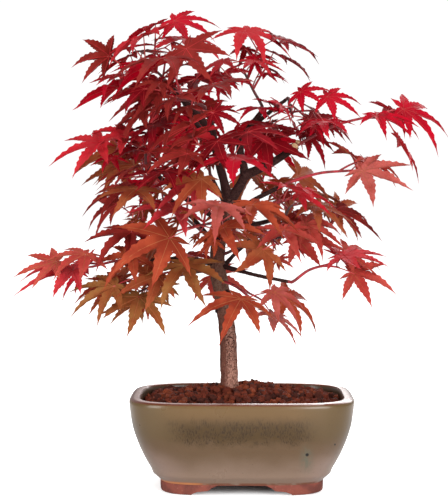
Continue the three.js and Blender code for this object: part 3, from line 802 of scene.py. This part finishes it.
def make_feet():
    """A ring under the pot, cut into four bracket feet."""
    inner, top = FOOT_REACH - FOOT_WALL, FOOT_HEIGHT + 1
    ring = [(inner, 0.4), (inner + 0.4, 0), (FOOT_REACH - 1, 0), (FOOT_REACH - 0.3, 0.3)]
    ring += [(FOOT_REACH, 1), (FOOT_REACH, FOOT_HEIGHT), (FOOT_REACH - 0.5, top), (inner, top)]
    feet = put("ring", mesh_of(turned(ring, True), "ring"))
    narrow = POT_HALF_DEPTH / POT_HALF_LENGTH * END_GAP
    cutters = []
    for reach, quarter in ((FOOT_REACH, 0), (FOOT_REACH * narrow, math.pi / 2)):
        cutter = put("cutter", bracket_prism(reach, quarter))
        cut = feet.modifiers.new("gap", "BOOLEAN")
        cut.operation, cut.solver, cut.object = "DIFFERENCE", "EXACT", cutter
        cutters.append(cutter)
    mesh = mesh_from(feet)
    for cutter in cutters:
        bpy.data.objects.remove(cutter)
    finished("pot_feet", mesh, terracotta_finish(), "pot_glaze", "pot", sharp=30)


# The soil


def ground(x, y):
    """The soil's height at a place inside the pot, and its share of the way to the edge."""
    radius, angle = math.hypot(x, y), math.atan2(y, x)
    edge = math.hypot(*squared(SOIL_RADIUS, angle))
    share = radius / edge
    return min(SOIL_TOP, SOIL_EDGE + SOIL_RISE * (1 - share)), share


def granule_shapes():
    """Lumps of baked clay: small cubes, rounded and roughened, as arrays."""
    shapes = []
    for kind in range(GRANULE_SHAPES):
        bm = bmesh.new()
        bmesh.ops.create_cube(bm, size=1)
        bmesh.ops.subdivide_edges(bm, edges=bm.edges, cuts=1, use_grid_fill=True)
        for corner in bm.verts:
            lump = noise.noise(corner.co * 2.3 + Vector((kind * 7.3, 0, 0)))
            corner.co = (corner.co * 0.35 + corner.co.normalized() * 0.36) * (1 + 0.8 * lump)
        shapes.append(arrays_of(bm))
    return shapes


def make_granules():
    """Clay granules heaped over the soil, in two layers and three tones."""
    random = seeded(202)
    shapes = granule_shapes()
    lots = {tone: ([], []) for tone in GRANULE_TONES}
    trunk_x, trunk_y, _ = LIMBS["trunk"][2][0]
    rows, columns = int(POT_HALF_DEPTH / GRANULE_STEP), int(POT_HALF_LENGTH / GRANULE_STEP)
    for layer in range(2):
        for row in range(-rows, rows + 1):
            for column in range(-columns, columns + 1):
                shift = 0.5 * (row % 2) + 0.5 * layer
                x = (column + shift + GRANULE_SCATTER * (random() - 0.5)) * GRANULE_STEP
                y = (row + 0.4 * layer + GRANULE_SCATTER * (random() - 0.5)) * GRANULE_STEP
                height, share = ground(x, y)
                size = between(GRANULE_SIZE, random() ** 1.3)
                spin = [random() * math.tau for _ in range(3)]
                pick, tint, high = random(), random(), random()
                near = math.hypot(x - trunk_x, y - trunk_y) <= TRUNK_ROOM + size * 0.3
                if near or share > SOIL_COVERED or (layer and high > between(HEAPED_SHARE, share)):
                    continue
                corners, faces = shapes[int(pick * len(shapes))]
                turn = np.array(Matrix.Rotation(spin[0], 3, "X") @ Matrix.Rotation(spin[1], 3, "Z"))
                z = height + (between(HEAPED_RISE, high) if layer else GRANULE_RISE)
                kept, wound = lots[next(tone for tone, (_, most) in GRANULE_TONES.items() if tint < most)]
                wound.append(faces + sum(len(c) for c in kept))
                kept.append(corners @ turn.T * size + (x, y, z))
    for tone, (corners, faces) in lots.items():
        name = "granules_" + tone
        mesh = joined_mesh(name, np.concatenate(corners), np.concatenate(faces))
        finished(name, mesh, granule_finish(name, GRANULE_TONES[tone][0]), "soil", sharp=25)


def make_soil():
    """The bed itself is the solid that stands for the soil."""
    materials = frame["nodes"]["soil"].data.materials
    materials.clear()
    materials.append(earth_finish())
    make_granules()


# The wood


class Curve:
    """A smooth curve through its points, with places by share of its length."""

    PARTS = 200  # that its length is measured in
    NO_GAP = 1e-4  # between two points, below which they are one

    def __init__(self, points):
        self.points = [Vector(p) for p in points]
        marks = [self.point(i / self.PARTS) for i in range(self.PARTS + 1)]
        self.lengths = [0.0]
        for before, after in zip(marks, marks[1:]):
            self.lengths.append(self.lengths[-1] + (after - before).length)
        self.length = self.lengths[-1]

    def point(self, t):
        """The place at a share of its points' number. Each stretch between two points is a cubic
        whose slope at either end heeds how far apart the neighbouring points are."""
        points, last = self.points, len(self.points) - 1
        i = min(int(last * t), last - 1)
        weight = last * t - i
        first, second = points[i], points[i + 1]
        before = points[i - 1] if i else first * 2 - second
        after = points[i + 2] if i + 2 <= last else second * 2 - first
        places = (before, first, second, after)
        d0, d1, d2 = [math.sqrt((b - a).length) for a, b in zip(places, places[1:])]
        d1 = d1 if d1 > self.NO_GAP else 1.0
        d0 = d0 if d0 > self.NO_GAP else d1
        d2 = d2 if d2 > self.NO_GAP else d1
        leave = (first - before) / d0 - (second - before) / (d0 + d1) + (second - first) / d1
        reach = (second - first) / d1 - (after - first) / (d1 + d2) + (after - second) / d2
        leave, reach = leave * d1, reach * d1
        square = (second - first) * 3 - leave * 2 - reach
        cube = (first - second) * 2 + leave + reach
        return first + leave * weight + square * weight**2 + cube * weight**3

    def parameter(self, share):
        target = share * self.length
        low = int(np.searchsorted(self.lengths, target, side="right")) - 1
        low = max(0, min(low, self.PARTS - 1))
        part = self.lengths[low + 1] - self.lengths[low]
        return (low + (target - self.lengths[low]) / part) / self.PARTS if part else low / self.PARTS

    def at(self, share):
        return self.point(min(1.0, self.parameter(share)))

    def tangent(self, share):
        t = self.parameter(share)
        low, high = max(0.0, t - 1e-4), min(1.0, t + 1e-4)
        return (self.point(high) - self.point(low)).normalized()

    def frames(self, steps):
        """A normal and binormal at each step, turned as little as possible along the curve."""
        tangents = [self.tangent(i / steps) for i in range(steps + 1)]
        sizes = [abs(c) for c in tangents[0]]
        smallest = [i for i in range(3) if sizes[i] <= min(sizes)][-1]
        axis = Vector([1.0 if i == smallest else 0.0 for i in range(3)])
        side = tangents[0].cross(axis).normalized()
        normals = [tangents[0].cross(side)]
        for before, after in zip(tangents, tangents[1:]):
            normal = normals[-1].copy()
            turn = before.cross(after)
            if turn.length > 1e-9:
                angle = math.acos(max(-1, min(1, before.dot(after))))
                normal.rotate(Quaternion(turn.normalized(), angle))
            normals.append(normal)
        return [(normal, tangent.cross(normal)) for normal, tangent in zip(normals, tangents)]


def tube_form(curve, radius_at, sides, steps):
    """A tapering round tube along a curve, as corners and faces, with closed ends."""
    corners, faces = [], []
    for i, (normal, binormal) in enumerate(curve.frames(steps)):
        centre, radius = curve.at(i / steps), radius_at(i / steps)
        for j in range(sides):
            angle = math.tau * j / sides
            corners.append(centre + (binormal * math.sin(angle) + normal * math.cos(angle)) * radius)
    for i in range(steps):
        for j in range(sides):
            a, b = i * sides + j, i * sides + (j + 1) % sides
            faces.append((a, b, b + sides, a + sides))
    faces.append(tuple(range(sides)))
    faces.append(tuple(range(steps * sides + sides - 1, steps * sides - 1, -1)))
    return corners, faces


def rod_form(start, end, start_radius, end_radius, sides):
    """A straight tapering rod, as corners and faces."""
    along = end - start
    turn = Vector((0, 1, 0)).rotation_difference(along.normalized())
    corners = []
    for place, radius in ((start, start_radius), (end, end_radius)):
        for j in range(sides):
            angle = math.tau * j / sides
            corner = Vector((math.sin(angle) * radius, 0, math.cos(angle) * radius))
            corner.rotate(turn)
            corners.append(place + corner)
    faces = [(j, (j + 1) % sides, (j + 1) % sides + sides, j + sides) for j in range(sides)]
    faces += [tuple(range(sides)), tuple(range(2 * sides - 1, sides - 1, -1))]
    return corners, faces


class Limb:
    """The trunk or a bough, which starts on its parent."""

    def __init__(self, name):
        self.name = name
        self.parent, share, path, self.radii = LIMBS[name]
        start = [limbs[self.parent].curve.at(share)] if self.parent else []
        self.curve = Curve(start + [Vector(p) for p in path])

    def flare(self, share):
        if self.parent:
            return 0
        return TRUNK_FLARE * math.exp(-share * self.curve.length / (FLARE_HEIGHT / 2))

    def radius(self, share):
        return between(self.radii, share) + self.flare(share)


limbs = {}
for limb_name in LIMBS:
    limbs[limb_name] = Limb(limb_name)


class Taken:
    """What is already in the crown, so that later growth keeps clear of it."""

    def __init__(self, form, mass, blade=False):
        corners, faces = form
        self.mass, self.blade = mass, blade
        self.tree = BVHTree.FromPolygons(corners, faces)
        self.low = [min(c[k] for c in corners) for k in range(3)]
        self.high = [max(c[k] for c in corners) for k in range(3)]

    def meets(self, other):
        if any(self.low[k] > other.high[k] or other.low[k] > self.high[k] for k in range(3)):
            return False
        return bool(self.tree.overlap(other.tree))


taken = []


def touches(shape, wanted):
    return any(wanted(other) and other.meets(shape) for other in taken)


def turned_from(heading, roll, angle):
    """A direction at an angle from a heading, to one side of it."""
    across = Vector((-heading.y, heading.x, 0)).normalized()
    across.rotate(Quaternion(heading, roll))
    return heading * math.cos(angle) + across * math.sin(angle)


class Leaf:
    """How a leaf hangs: its stalk leaves the twig to one side, and the blade points outwards and
    down, with its face turned up and away from the trunk."""

    def __init__(self, mass, foot, heading, roll, freedom, random, scale=1):
        def jitter():
            return (random() - 0.5) * freedom

        turn = roll + jitter()
        angle = PETIOLE_ANGLE * between(PETIOLE_SWING, random())
        stalk = turned_from(heading, turn, math.radians(angle))
        stalk.z += PETIOLE_RISE
        stalk.normalize()
        self.foot = foot
        self.length = mass.leaf * scale * between(LEAF_SIZE, random())
        self.base = foot + stalk * (self.length * between(PETIOLE_SHARE, random()))
        outward = self.base - limbs["trunk"].curve.at(0.9)
        outward.z = 0
        outward.normalize()
        axis = Vector((stalk.x, stalk.y, 0)) * ALONG_STALK + outward * OUTWARDS
        aside = [jitter() * STRAY, jitter() * STRAY]
        down = DOWNWARDS * mass.droop + STRAY_DOWN * random()
        self.axis = (axis + Vector((*aside, -down))).normalized()
        aside = [jitter() * STRAY, jitter() * STRAY]
        ahead = FORWARD if mass.tip.y > BACK_MASSES else -FORWARD
        open_side = Vector((*aside, 0)) + Vector((0, ahead * mass.face, LIGHT))
        normal = outward * (mass.face * FACE_OUTWARDS * random()) + open_side
        self.normal = (normal - self.axis * normal.dot(self.axis)).normalized()
        self.side = self.axis.cross(self.normal)
        self.hang = between(HANG, random())
        self.spread = between(SPREAD, random())

    def place(self, x, y, z):
        """A place of the leaf's own, in its lengths, as a place in the crown."""
        return self.base + (self.side * x + self.axis * y + self.normal * z) * self.length

    def tips(self):
        for turn, length, _ in LOBES[1:6]:
            angle = math.radians(turn * self.spread)
            x, y = math.sin(angle) * length, math.cos(angle) * length
            yield self.place(x, y, -self.hang * length * length)

    def outline(self):
        """The blade's edge: the heel, then for each lobe its notch and its pointed shape."""

        def polar(turn, radius):
            angle = math.radians(turn * self.spread)
            return math.sin(angle) * radius, math.cos(angle) * radius

        basal, basal_length, _ = LOBES[0]
        points = [(0, -HEEL), polar(basal, basal_length)]
        previous = basal
        for turn, length, half in LOBES[1:6]:
            points.append(polar((previous + turn) / 2, BASAL_NOTCH if previous > 90 else NOTCH))
            if abs(turn) < 80:
                belly = math.hypot(length * LOBE_BELLY, half)
                swing = math.degrees(math.atan2(half, length * LOBE_BELLY)) / self.spread
                points += [polar(turn + swing, belly), polar(turn, length), polar(turn - swing, belly)]
            else:
                points.append(polar(turn, length))
            previous = turn
        points.append(polar((previous - basal) / 2, BASAL_NOTCH))
        points.append(polar(-basal, basal_length))
        return points

    def form(self, extra):
        """The blade's solid, as in the source: two fans from near the stalk to the outline."""
        outline = self.outline()
        corners = [self.place(x, y, -self.hang * (x * x + y * y)) for x, y in outline]
        half = (self.length * LEAF_THICKNESS + 2 * extra) / 2 / self.length
        corners += [self.place(0, LEAF_MIDDLE, half), self.place(0, LEAF_MIDDLE, -half)]
        count, faces = len(outline), []
        for i in range(count):
            j = (i + 1) % count
            faces += [(count, i, j), (count + 1, j, i)]
        return corners, faces


class Mass:
    """One spray of the crown: its stem, side shoots and leaves, grown by the source's rule."""

    def __init__(self, name):
        limb_name, tip, self.shoots, self.leaf, self.droop, self.face, self.seed, *rest = MASSES[name]
        self.bare, share, side = rest + [STEM_BARE, 1, None][len(rest) :]
        self.name = name
        self.tip = Vector(tip)
        limb = limbs[limb_name]
        step = limb.radius(share) - GAP if side else GAP
        side = Vector(side).normalized() if side else limb.curve.tangent(1)
        start = limb.curve.at(share) + side * step
        bend = start.lerp(self.tip, 0.5)
        bend.z += STEM_ARCH * (self.tip - start).length
        self.start = start
        self.curve = Curve([start, start + side * 2, bend, self.tip])
        self.centre = start.lerp(self.tip, 0.75)
        self.radii = (min(limb.radii[1], STEM_RADII[0]), STEM_RADII[1])
        taken.append(Taken(tube_form(self.curve, lambda s: self.radius(s) + CLEARANCE, 4, 4), name))

    def radius(self, share):
        return between(self.radii, share)

    def grow_leaf(self, foot, heading, roll, seed, scale=1):
        """A leaf that keeps clear of what is there, turned more freely with each attempt."""
        for attempt in range(ATTEMPTS):
            random = seeded(seed * 100 + attempt)
            leaf = Leaf(self, foot, heading, roll, 1 + attempt * FREEDOM, random, scale)
            reach = REACH * self.leaf
            if any((p - self.centre).length > reach or p.z < LOWEST_LEAF for p in leaf.tips()):
                continue
            blade = Taken(leaf.form(CLEARANCE), self.name, True)
            radius = PETIOLE_RADIUS + CLEARANCE
            stalk = Taken(rod_form(foot, leaf.base, radius, radius, 3), self.name)
            if touches(blade, lambda t: True):
                continue
            if touches(stalk, lambda t: t.blade or t.mass != self.name):
                continue
            taken.extend([blade, stalk])
            return leaf
        return None

    def grow(self):
        """Side shoots on alternate sides of the stem, and a pair of leaves at each end."""
        self.ends = [(None, self.tip, self.curve.tangent(1))]
        for k in range(self.shoots):
            random = seeded(self.seed * 1000 + k)
            share = self.bare + (LAST_SHOOT - self.bare) * (k + 0.5) / self.shoots
            roll = math.pi * k + k // 2 * 0.9 + (random() - 0.5) * 0.9
            root = self.curve.at(share)
            heading = turned_from(self.curve.tangent(share), roll, math.radians(SHOOT_ANGLE))
            foot = root + heading * between(SHOOT_LENGTH, random())
            guarded = Taken(rod_form(root, foot, SHOOT_RADIUS + CLEARANCE, SHOOT_RADIUS, 4), self.name)
            if touches(guarded, lambda t: t.mass != self.name):
                continue
            taken.append(guarded)
            self.ends.append((root, foot, heading))
        self.leaves = []
        for k, (_, foot, heading) in enumerate(self.ends):
            for side in range(2):
                node = foot - heading * (NODE_STEP * side)
                roll = math.pi * side + k * 0.5
                leaf = self.grow_leaf(node, heading, roll, self.seed * 100 + k * 2 + side)
                if leaf:
                    self.leaves.append(leaf)

    def grow_finer(self):
        """Smaller leaves on finer twigs from the stem and shoots, where there is room for them.
        A spray with no more than one shoot stays open."""
        self.fine = []
        if self.shoots < 2:
            return
        for k, (root, foot, heading) in enumerate(self.ends):
            random = seeded(self.seed * 5000 + k)
            if not root:
                share = 0.55 + 0.4 * random()
                start, heading = self.curve.at(share), self.curve.tangent(share)
            else:
                start = root.lerp(foot, 0.25 + 0.6 * random())
            angle = math.radians(between(FINE_ANGLE, random()))
            along = turned_from(heading, math.tau * random(), angle)
            end = start + along * between(FINE_LENGTH, random())
            radii = [radius + CLEARANCE for radius in FINE_RADII]
            rod = Taken(rod_form(start, end, *radii, 3), self.name)
            if touches(rod, lambda t: t.blade or t.mass != self.name):
                continue
            scale = between(FINE_LEAF, random()) * (1 if self.tip.z > OPEN_BELOW else OPEN_LEAF)
            grown = []
            for side in range(2):
                roll, seed = math.pi * side + random(), self.seed * 900 + k * 2 + side
                grown.append(self.grow_leaf(end, along, roll, seed, scale))
            grown = [leaf for leaf in grown if leaf]
            if grown:
                taken.append(rod)
                self.fine.append((start, end))
                self.leaves += grown


def grow_crown():
    """All the masses. The limbs and the stub take their room first, in the solids' own shape."""
    for name, limb in limbs.items():
        sides, steps = (10, 12) if name == "trunk" else (6, 5)
        form = tube_form(limb.curve, lambda s: limb.radius(s) + CLEARANCE, sides, steps)
        taken.append(Taken(form, name))
    share, radius, reach = STUB
    foot, reach = limbs["right_bough"].curve.at(share), Vector(reach)
    end = foot + reach * (1 + CLEARANCE / reach.length)
    form = rod_form(foot, end, radius + CLEARANCE, radius * 0.92 + CLEARANCE, 9)
    taken.append(Taken(form, "right_bough"))
    masses = [Mass(name) for name in MASSES]
    for mass in masses:
        mass.grow()
    for mass in masses:
        mass.grow_finer()
    return masses


def rods(name, splines, smooth=1):
    """Round rods along lines of points with a radius at each, as one closed mesh."""
    data = bpy.data.curves.new(name, "CURVE")
    data.dimensions = "3D"
    data.bevel_depth = 1
    data.bevel_resolution = smooth
    data.use_fill_caps = True
    for line in splines:
        spline = data.splines.new("POLY")
        spline.points.add(len(line) - 1)
        for point, (place, radius) in zip(spline.points, line):
            point.co = (*place, 1)
            point.radius = radius
    mesh = mesh_from(put(name, data))
    bm = bmesh.new()
    bm.from_mesh(mesh)
    bmesh.ops.remove_doubles(bm, verts=bm.verts, dist=1e-4)
    bmesh.ops.recalc_face_normals(bm, faces=bm.faces)
    bm.to_mesh(mesh)
    bm.free()
    return mesh


def roughened(mesh, relief):
    """Moves each corner of a mesh along its normal by a function of its place."""
    mesh.update()
    for corner in mesh.vertices:
        corner.co = corner.co + corner.normal * relief(corner.co)
    return mesh


def bark_relief(place):
    """Ridges along the trunk, pores and low bulges, in millimetres. It fades on thin boughs."""
    tall = Vector((place.x, place.y, place.z * 0.35))
    ridges = noise.fractal(tall * 0.55, 0.8, 2, 4)
    pores = noise.noise(Vector((place.x, place.y, place.z * 1.4)) * 0.95)
    bulge = noise.noise(place * 0.09 + Vector((3, 5, 1)))
    return RIDGES * ridges - PORES * max(0, pores - PORES_FROM) + BULGES * bulge


def swelling(limb, share):
    """A limb's radius with the collar where it leaves its parent."""
    if not limb.parent:
        return limb.radius(share)
    fading = math.exp(-share * limb.curve.length / COLLAR_LENGTH)
    return limb.radius(share) * (1 + COLLAR_SWELL * fading)


def limb_line(limb, step, first=0.0):
    """Places along a limb with its radius at each, a step apart."""
    count = max(6, round(limb.curve.length / step))
    shares = [first + (1 - first) * i / count for i in range(count + 1)]
    return [(limb.curve.at(s), swelling(limb, s)) for s in shares]


def stub_line(limb, stub, shape):
    share, radius, reach = stub
    foot = limb.curve.at(share)
    return [(foot + Vector(reach) * out, radius * wide) for out, wide in shape]


def make_cuts():
    """The pale sawn ends of the stub on the right bough and of a twig beside it."""
    share, radius, reach = STUB
    cuts = []
    for at, wide, way in ((share, radius * 0.86, reach), TWIG_CUT):
        end = limbs["right_bough"].curve.at(at) + Vector(way)
        along = Vector(way).normalized() * CUT_THICKNESS
        cuts.append([(end - along, wide), (end + along * 0.6, wide), (end + along, wide * 0.8)])
    finished("sawn_ends", rods("sawn_ends", cuts, 8), cut_wood_finish(), "bark", sharp=30)


def make_wood():
    """The trunk, and the boughs with the stub and scars, which are darker."""
    trunk = limbs["trunk"]
    step, smooth = TRUNK_DETAIL
    mesh = roughened(rods("trunk_bark", [limb_line(trunk, step, 0.01)], smooth), bark_relief)
    finished("trunk_bark", mesh, bark_finish("trunk_bark", 0), "bark", "trunk", sharp=60)
    boughs = [limb for limb in limbs.values() if limb.parent]
    step, smooth = BOUGH_DETAIL
    lines = [limb_line(limb, step) for limb in boughs]
    lines.append(stub_line(limbs["right_bough"], STUB, STUB_SHAPE))
    lines += [stub_line(trunk, scar, SCAR_SHAPE) for scar in SCARS]
    mesh = rods("bough_bark", lines, smooth)
    mesh = roughened(mesh, lambda place: bark_relief(place) * BOUGH_RELIEF)
    dark = bark_finish("bough_bark", BOUGH_DARKNESS)
    finished("bough_bark", mesh, dark, "bark", *[limb.name for limb in boughs], sharp=60)


def bent_line(start, end, radii, bow=0, steps=6):
    """A line from one point to another that bows upwards, with its radius at each point."""
    line = []
    for i in range(steps + 1):
        share = i / steps
        rise = bow * 4 * share * (1 - share)
        line.append((start.lerp(end, share) + Vector((0, 0, rise)), between(radii, share)))
    return line


def make_twigs(masses):
    """The stems, the red shoots on them and the leaves' stalks. A spray with no more than one
    shoot is young, and its stem is red too."""
    lines = {kind: [] for kind in TWIGS}
    stems, shoots, stalks = lines.values()
    for mass in masses:
        shares = [i / STEM_STEPS for i in range(STEM_STEPS + 1)]
        stem = [(mass.curve.at(share), mass.radius(share)) for share in shares]
        inside = (mass.start - mass.curve.tangent(0) * 1.5, mass.radii[0] * 1.05)
        (stems if mass.shoots > 1 else shoots).append([inside] + stem)
        for root, foot, heading in mass.ends:
            if root:
                shoots.append(bent_line(root, foot, SHOOT_DRAWN, 0.5))
            shoots.append(bent_line(foot, foot + heading * BUD_LENGTH, BUD_DRAWN, steps=3))
        for start, end in mass.fine:
            shoots.append(bent_line(start, end, FINE_DRAWN, 0.3, 4))
        for leaf in mass.leaves:
            span = (leaf.base - leaf.foot).length
            heel = (leaf.foot.lerp(leaf.base, STALK_HEEL[0] / span), STALK_HEEL[1])
            line = bent_line(leaf.foot, leaf.base, STALK_DRAWN, 0.035 * span)
            stalks.append([heel] + line + [(leaf.place(0, 0.06, -0.012), 0.3)])
    for kind, (tone, other, smooth, slot) in TWIGS.items():
        finished(kind, rods(kind, lines[kind], smooth), twig_finish(kind, tone, other), slot, sharp=60)


# The leaves


def lobe_half_width(share, start, start_half, belly_half):
    """Half the width of a lobe at a share of its length: full at its belly, then long pointed."""
    if share < LOBE_BELLY:
        rise = (share - start) / (LOBE_BELLY - start)
        return start_half + (belly_half - start_half) * math.sin(rise * math.pi / 2)
    left = (1 - share) / (1 - LOBE_BELLY)
    return belly_half * left**TAPER * (1 + FULLNESS * (1 - left))


def lobe_point(lobe, u, v, rows):
    """A place on the blade: u runs across the lobe, from -1 to 1, and v along it, from 0 to 1."""
    turn, length, half = LOBES[lobe]
    notch = LOBE_NOTCHES[lobe] if u > 0 else LOBE_NOTCHES[lobe + 1]
    neighbour = LOBE_TURNS[lobe] if u > 0 else LOBE_TURNS[lobe + 2]
    swing = math.radians(abs(neighbour - turn)) / 2
    notch_along, notch_half = notch * math.cos(swing), notch * math.sin(swing)
    vein = max(notch_along, PALM_LEAST) * PALM_REACH
    row = round(v * rows)
    if row <= PALM_ROWS:
        share = row / PALM_ROWS
        along = abs(u) * notch_along * share + (1 - abs(u)) * vein * share
        aside = abs(u) * notch_half * share
    else:
        share = (row - PALM_ROWS) / (rows - PALM_ROWS)
        edge = notch_along + (length - notch_along) * share
        middle = vein + (length - vein) * share
        width = lobe_half_width(edge / length, notch_along / length, notch_half, half)
        if row % 2 and row < rows - 1:
            width += TOOTH_DEPTH * length * (0.4 + width / half * 0.6)
            edge += TOOTH_LEAN * length
        along = abs(u) * edge + (1 - abs(u)) * middle
        aside = abs(u) * width
    if u < 0:
        aside = -aside
    angle = math.radians(turn)
    x = math.sin(angle) * along + math.cos(angle) * aside
    y = math.cos(angle) * along - math.sin(angle) * aside
    return Vector((x, y, FOLD * abs(aside)))


def master_leaf():
    """One leaf of length 1 with the stalk at the origin: a closed blade, flat but for its folds,
    that thins out from its veins to its toothed edge."""
    bm = bmesh.new()
    for lobe, (_, length, _) in enumerate(LOBES):
        rows = LOBE_ROWS if length > 0.5 else BASAL_ROWS
        made = bmesh.ops.create_grid(bm, x_segments=2, y_segments=rows, size=0.5)
        for corner in made["verts"]:
            corner.co = lobe_point(lobe, corner.co.x * 2, corner.co.y + 0.5, rows)
    bmesh.ops.remove_doubles(bm, verts=bm.verts, dist=2e-4)
    bmesh.ops.dissolve_degenerate(bm, edges=bm.edges, dist=1e-5)
    bmesh.ops.recalc_face_normals(bm, faces=bm.faces)
    if sum(face.normal.z for face in bm.faces) < 0:
        bmesh.ops.reverse_faces(bm, faces=bm.faces)
    copy = bmesh.ops.duplicate(bm, geom=bm.verts[:] + bm.edges[:] + bm.faces[:])["geom"]
    for corner in copy:
        if isinstance(corner, bmesh.types.BMVert) and not corner.is_boundary:
            corner.co.z -= BLADE
    bmesh.ops.reverse_faces(bm, faces=[part for part in copy if isinstance(part, bmesh.types.BMFace)])
    bmesh.ops.remove_doubles(bm, verts=bm.verts, dist=1e-5)
    bmesh.ops.triangulate(bm, faces=bm.faces)
    return arrays_of(bm)


def master_veins():
    """Places along the middle of each lobe of the master leaf, one row for each lobe."""
    veins = []
    for turn, length, _ in LOBES:
        angle = math.radians(turn)
        marks = [mark * length for mark in VEIN_MARKS]
        veins.append([(math.sin(angle) * r, math.cos(angle) * r, -BLADE / 2) for r in marks])
    return np.array(veins)


def hung(master, leaf, random):
    """Points of the master leaf bent, spread and put where a leaf of the crown hangs."""
    x, y, z = master.T
    basal = LOBES[0][0]
    angle, radius = np.degrees(np.arctan2(x, y)), np.hypot(x, y)
    from_vein = np.radians(np.min([np.abs(angle - turn) for turn, _, _ in LOBES], axis=0))
    wide = np.abs(angle)
    behind = np.maximum(wide - basal, 0) / (180 - basal) * (180 - basal * leaf.spread)
    angle = np.sign(angle) * (np.minimum(wide, basal) * leaf.spread + behind)
    turns = [turn * leaf.spread for turn, _, _ in reversed(LOBES)]
    curl = np.interp(angle, turns, [CURL * random() for _ in turns])
    sway = np.interp(angle, turns, [SWAY * (random() - 0.5) for _ in turns])
    stretch = np.interp(angle, turns, [STRETCH * (random() - 0.6) for _ in turns])
    angle = np.radians(angle) + sway * radius**2
    radius = radius * (1 + stretch * np.interp(radius, STRETCH_ALONG, (0, 1)))
    x, y = np.sin(angle) * radius, np.cos(angle) * radius
    fold, twist = between(FOLDING, random()), TWIST * (random() - 0.5)
    waves = [np.sin(v * n + math.tau * random()) for v, n in zip((x, y), RIPPLE_WAVES)]
    ripple = RIPPLE * waves[0] * waves[1] * np.clip(from_vein * radius / RIPPLE_CLEAR, 0, 1)
    drop = leaf.hang * radius**2 + curl * np.maximum(radius - CURL_FROM, 0) ** 2
    height = z * fold - drop + twist * x * y + ripple
    axes = np.array([leaf.side[:], leaf.axis[:], leaf.normal[:]])
    return (np.stack([x, y, height], 1) @ axes) * leaf.length + np.array(leaf.base[:])


def make_leaves(masses):
    """The blades joined by tint and the veins by tone. A draw picks each leaf's tint from its
    spray's."""
    corners, faces = master_leaf()
    veins = master_veins()
    points = np.concatenate([corners, veins.reshape(-1, 3)])
    lots = {tint: ([], []) for tint in TINTS}
    ribs = {tone: [] for tone in VEIN_TONES}
    for mass in masses:
        random = seeded(mass.seed * 77)
        tints = SPRAY_TINTS[mass.name]
        for leaf in mass.leaves:
            tint = tints[int(random() * len(tints))]
            kept, wound = lots[tint]
            grown = hung(points, leaf, random)
            wound.append(faces + len(kept) * len(corners))
            kept.append(grown[: len(corners)])
            tone = next(tone for tone, (_, borne) in VEIN_TONES.items() if tint in borne)
            for rib in grown[len(corners) :].reshape(veins.shape):
                radii = np.linspace(*VEIN_RADII, len(rib)) * leaf.length
                ribs[tone].append(list(zip(rib, radii)))
    names = ["leaves_" + name for name in MASSES]
    for tint, (kept, wound) in lots.items():
        if not kept:
            continue
        mesh = joined_mesh("leaves_" + tint, np.concatenate(kept), np.concatenate(wound))
        tone, patch = TINTS[tint]
        material = leaf_finish(tint, linear(tone), linear(patch))
        finished("foliage_" + tint, mesh, material, "leaf", *names, sharp=55)
    for tone, lines in ribs.items():
        colour = linear(VEIN_TONES[tone][0])
        material = leaf_finish(tone, colour, dimmed(colour, 0.8))
        finished(tone, rods(tone, lines, 0), material, "leaf", *names, sharp=60)


# The scene round the plant


def aim(made, way):
    """Turns the camera or a lamp to look along a direction."""
    made.rotation_mode = "QUATERNION"
    made.rotation_quaternion = way.to_track_quat("-Z", "Y")


def make_camera():
    data = bpy.data.cameras.new("camera")
    data.sensor_width, data.lens = SENSOR_WIDTH, LENS
    data.clip_start, data.clip_end = 0.05, 20
    camera = put("camera", data)
    camera.location = placed(CAMERA_PLACE)
    turn, tilt = math.radians(CAMERA_TURN), math.radians(CAMERA_TILT)
    level = math.cos(tilt)
    aim(camera, Vector((-math.sin(turn) * level, math.cos(turn) * level, -math.sin(tilt))))
    bpy.context.scene.camera = camera


def make_floor():
    """A white floor that glows to the camera, less so near the pot and least under it."""
    bm = bmesh.new()
    bmesh.ops.create_circle(bm, cap_ends=True, segments=96, radius=FLOOR_RADIUS)
    finish = Finish("white_floor")
    seen = finish.node("LightPath")
    away = finish.node("VectorMath", {"operation": "LENGTH"}, {0: finish.where()}, 1)
    footprint = (finish.across().size() / 54).highest(finish.behind().size() / 40)
    glow = seen * (0.7 * footprint.ramp(0.45, 1.25) + 0.3 * away.ramp(60, 260))
    finish.surface(
        Base_Color=linear((235, 235, 235)),
        Roughness=0.9,
        Specular_IOR_Level=0.1,
        Emission_Color=finish.painted((0, 0, 0), ((255, 255, 255), glow)),
        Emission_Strength=1,
    )
    mesh = mesh_of(bm, "floor")
    mesh.transform(INTO_FRAME)
    mesh.materials.append(finish.material)
    floor = put("floor", mesh)
    floor.location.z = -FLOOR_DROP * MM


def make_lamp(name, place, size, power):
    data = bpy.data.lights.new(name, "AREA")
    data.shape = "RECTANGLE"
    data.size, data.size_y = size[0] * MM, size[1] * MM
    data.energy = power
    lamp = put(name, data)
    lamp.location = placed(place)
    aim(lamp, placed(LAMPS_AIM) - lamp.location)


def make_light():
    """A white room, brighter to the camera than on the plant, and the lamps in it."""
    world = bpy.data.worlds.new("white_room")
    bpy.context.scene.world = world
    world.use_nodes = True
    nodes, links = world.node_tree.nodes, world.node_tree.links
    shade = nodes["Background"]
    shade.inputs["Color"].default_value = (1, 1, 1, 1)
    path, level = nodes.new("ShaderNodeLightPath"), nodes.new("ShaderNodeMapRange")
    links.new(path.outputs["Is Camera Ray"], level.inputs[0])
    level.inputs[3].default_value, level.inputs[4].default_value = ROOM_LIGHT
    links.new(level.outputs[0], shade.inputs["Strength"])
    for name, lamp in LAMPS.items():
        make_lamp(name, *lamp)
    bpy.context.scene.view_settings.view_transform = "Standard"


make_camera()
make_floor()
make_light()
make_pot()
make_feet()
make_soil()
crown = grow_crown()
make_wood()
make_cuts()
make_twigs(crown)
make_leaves(crown)
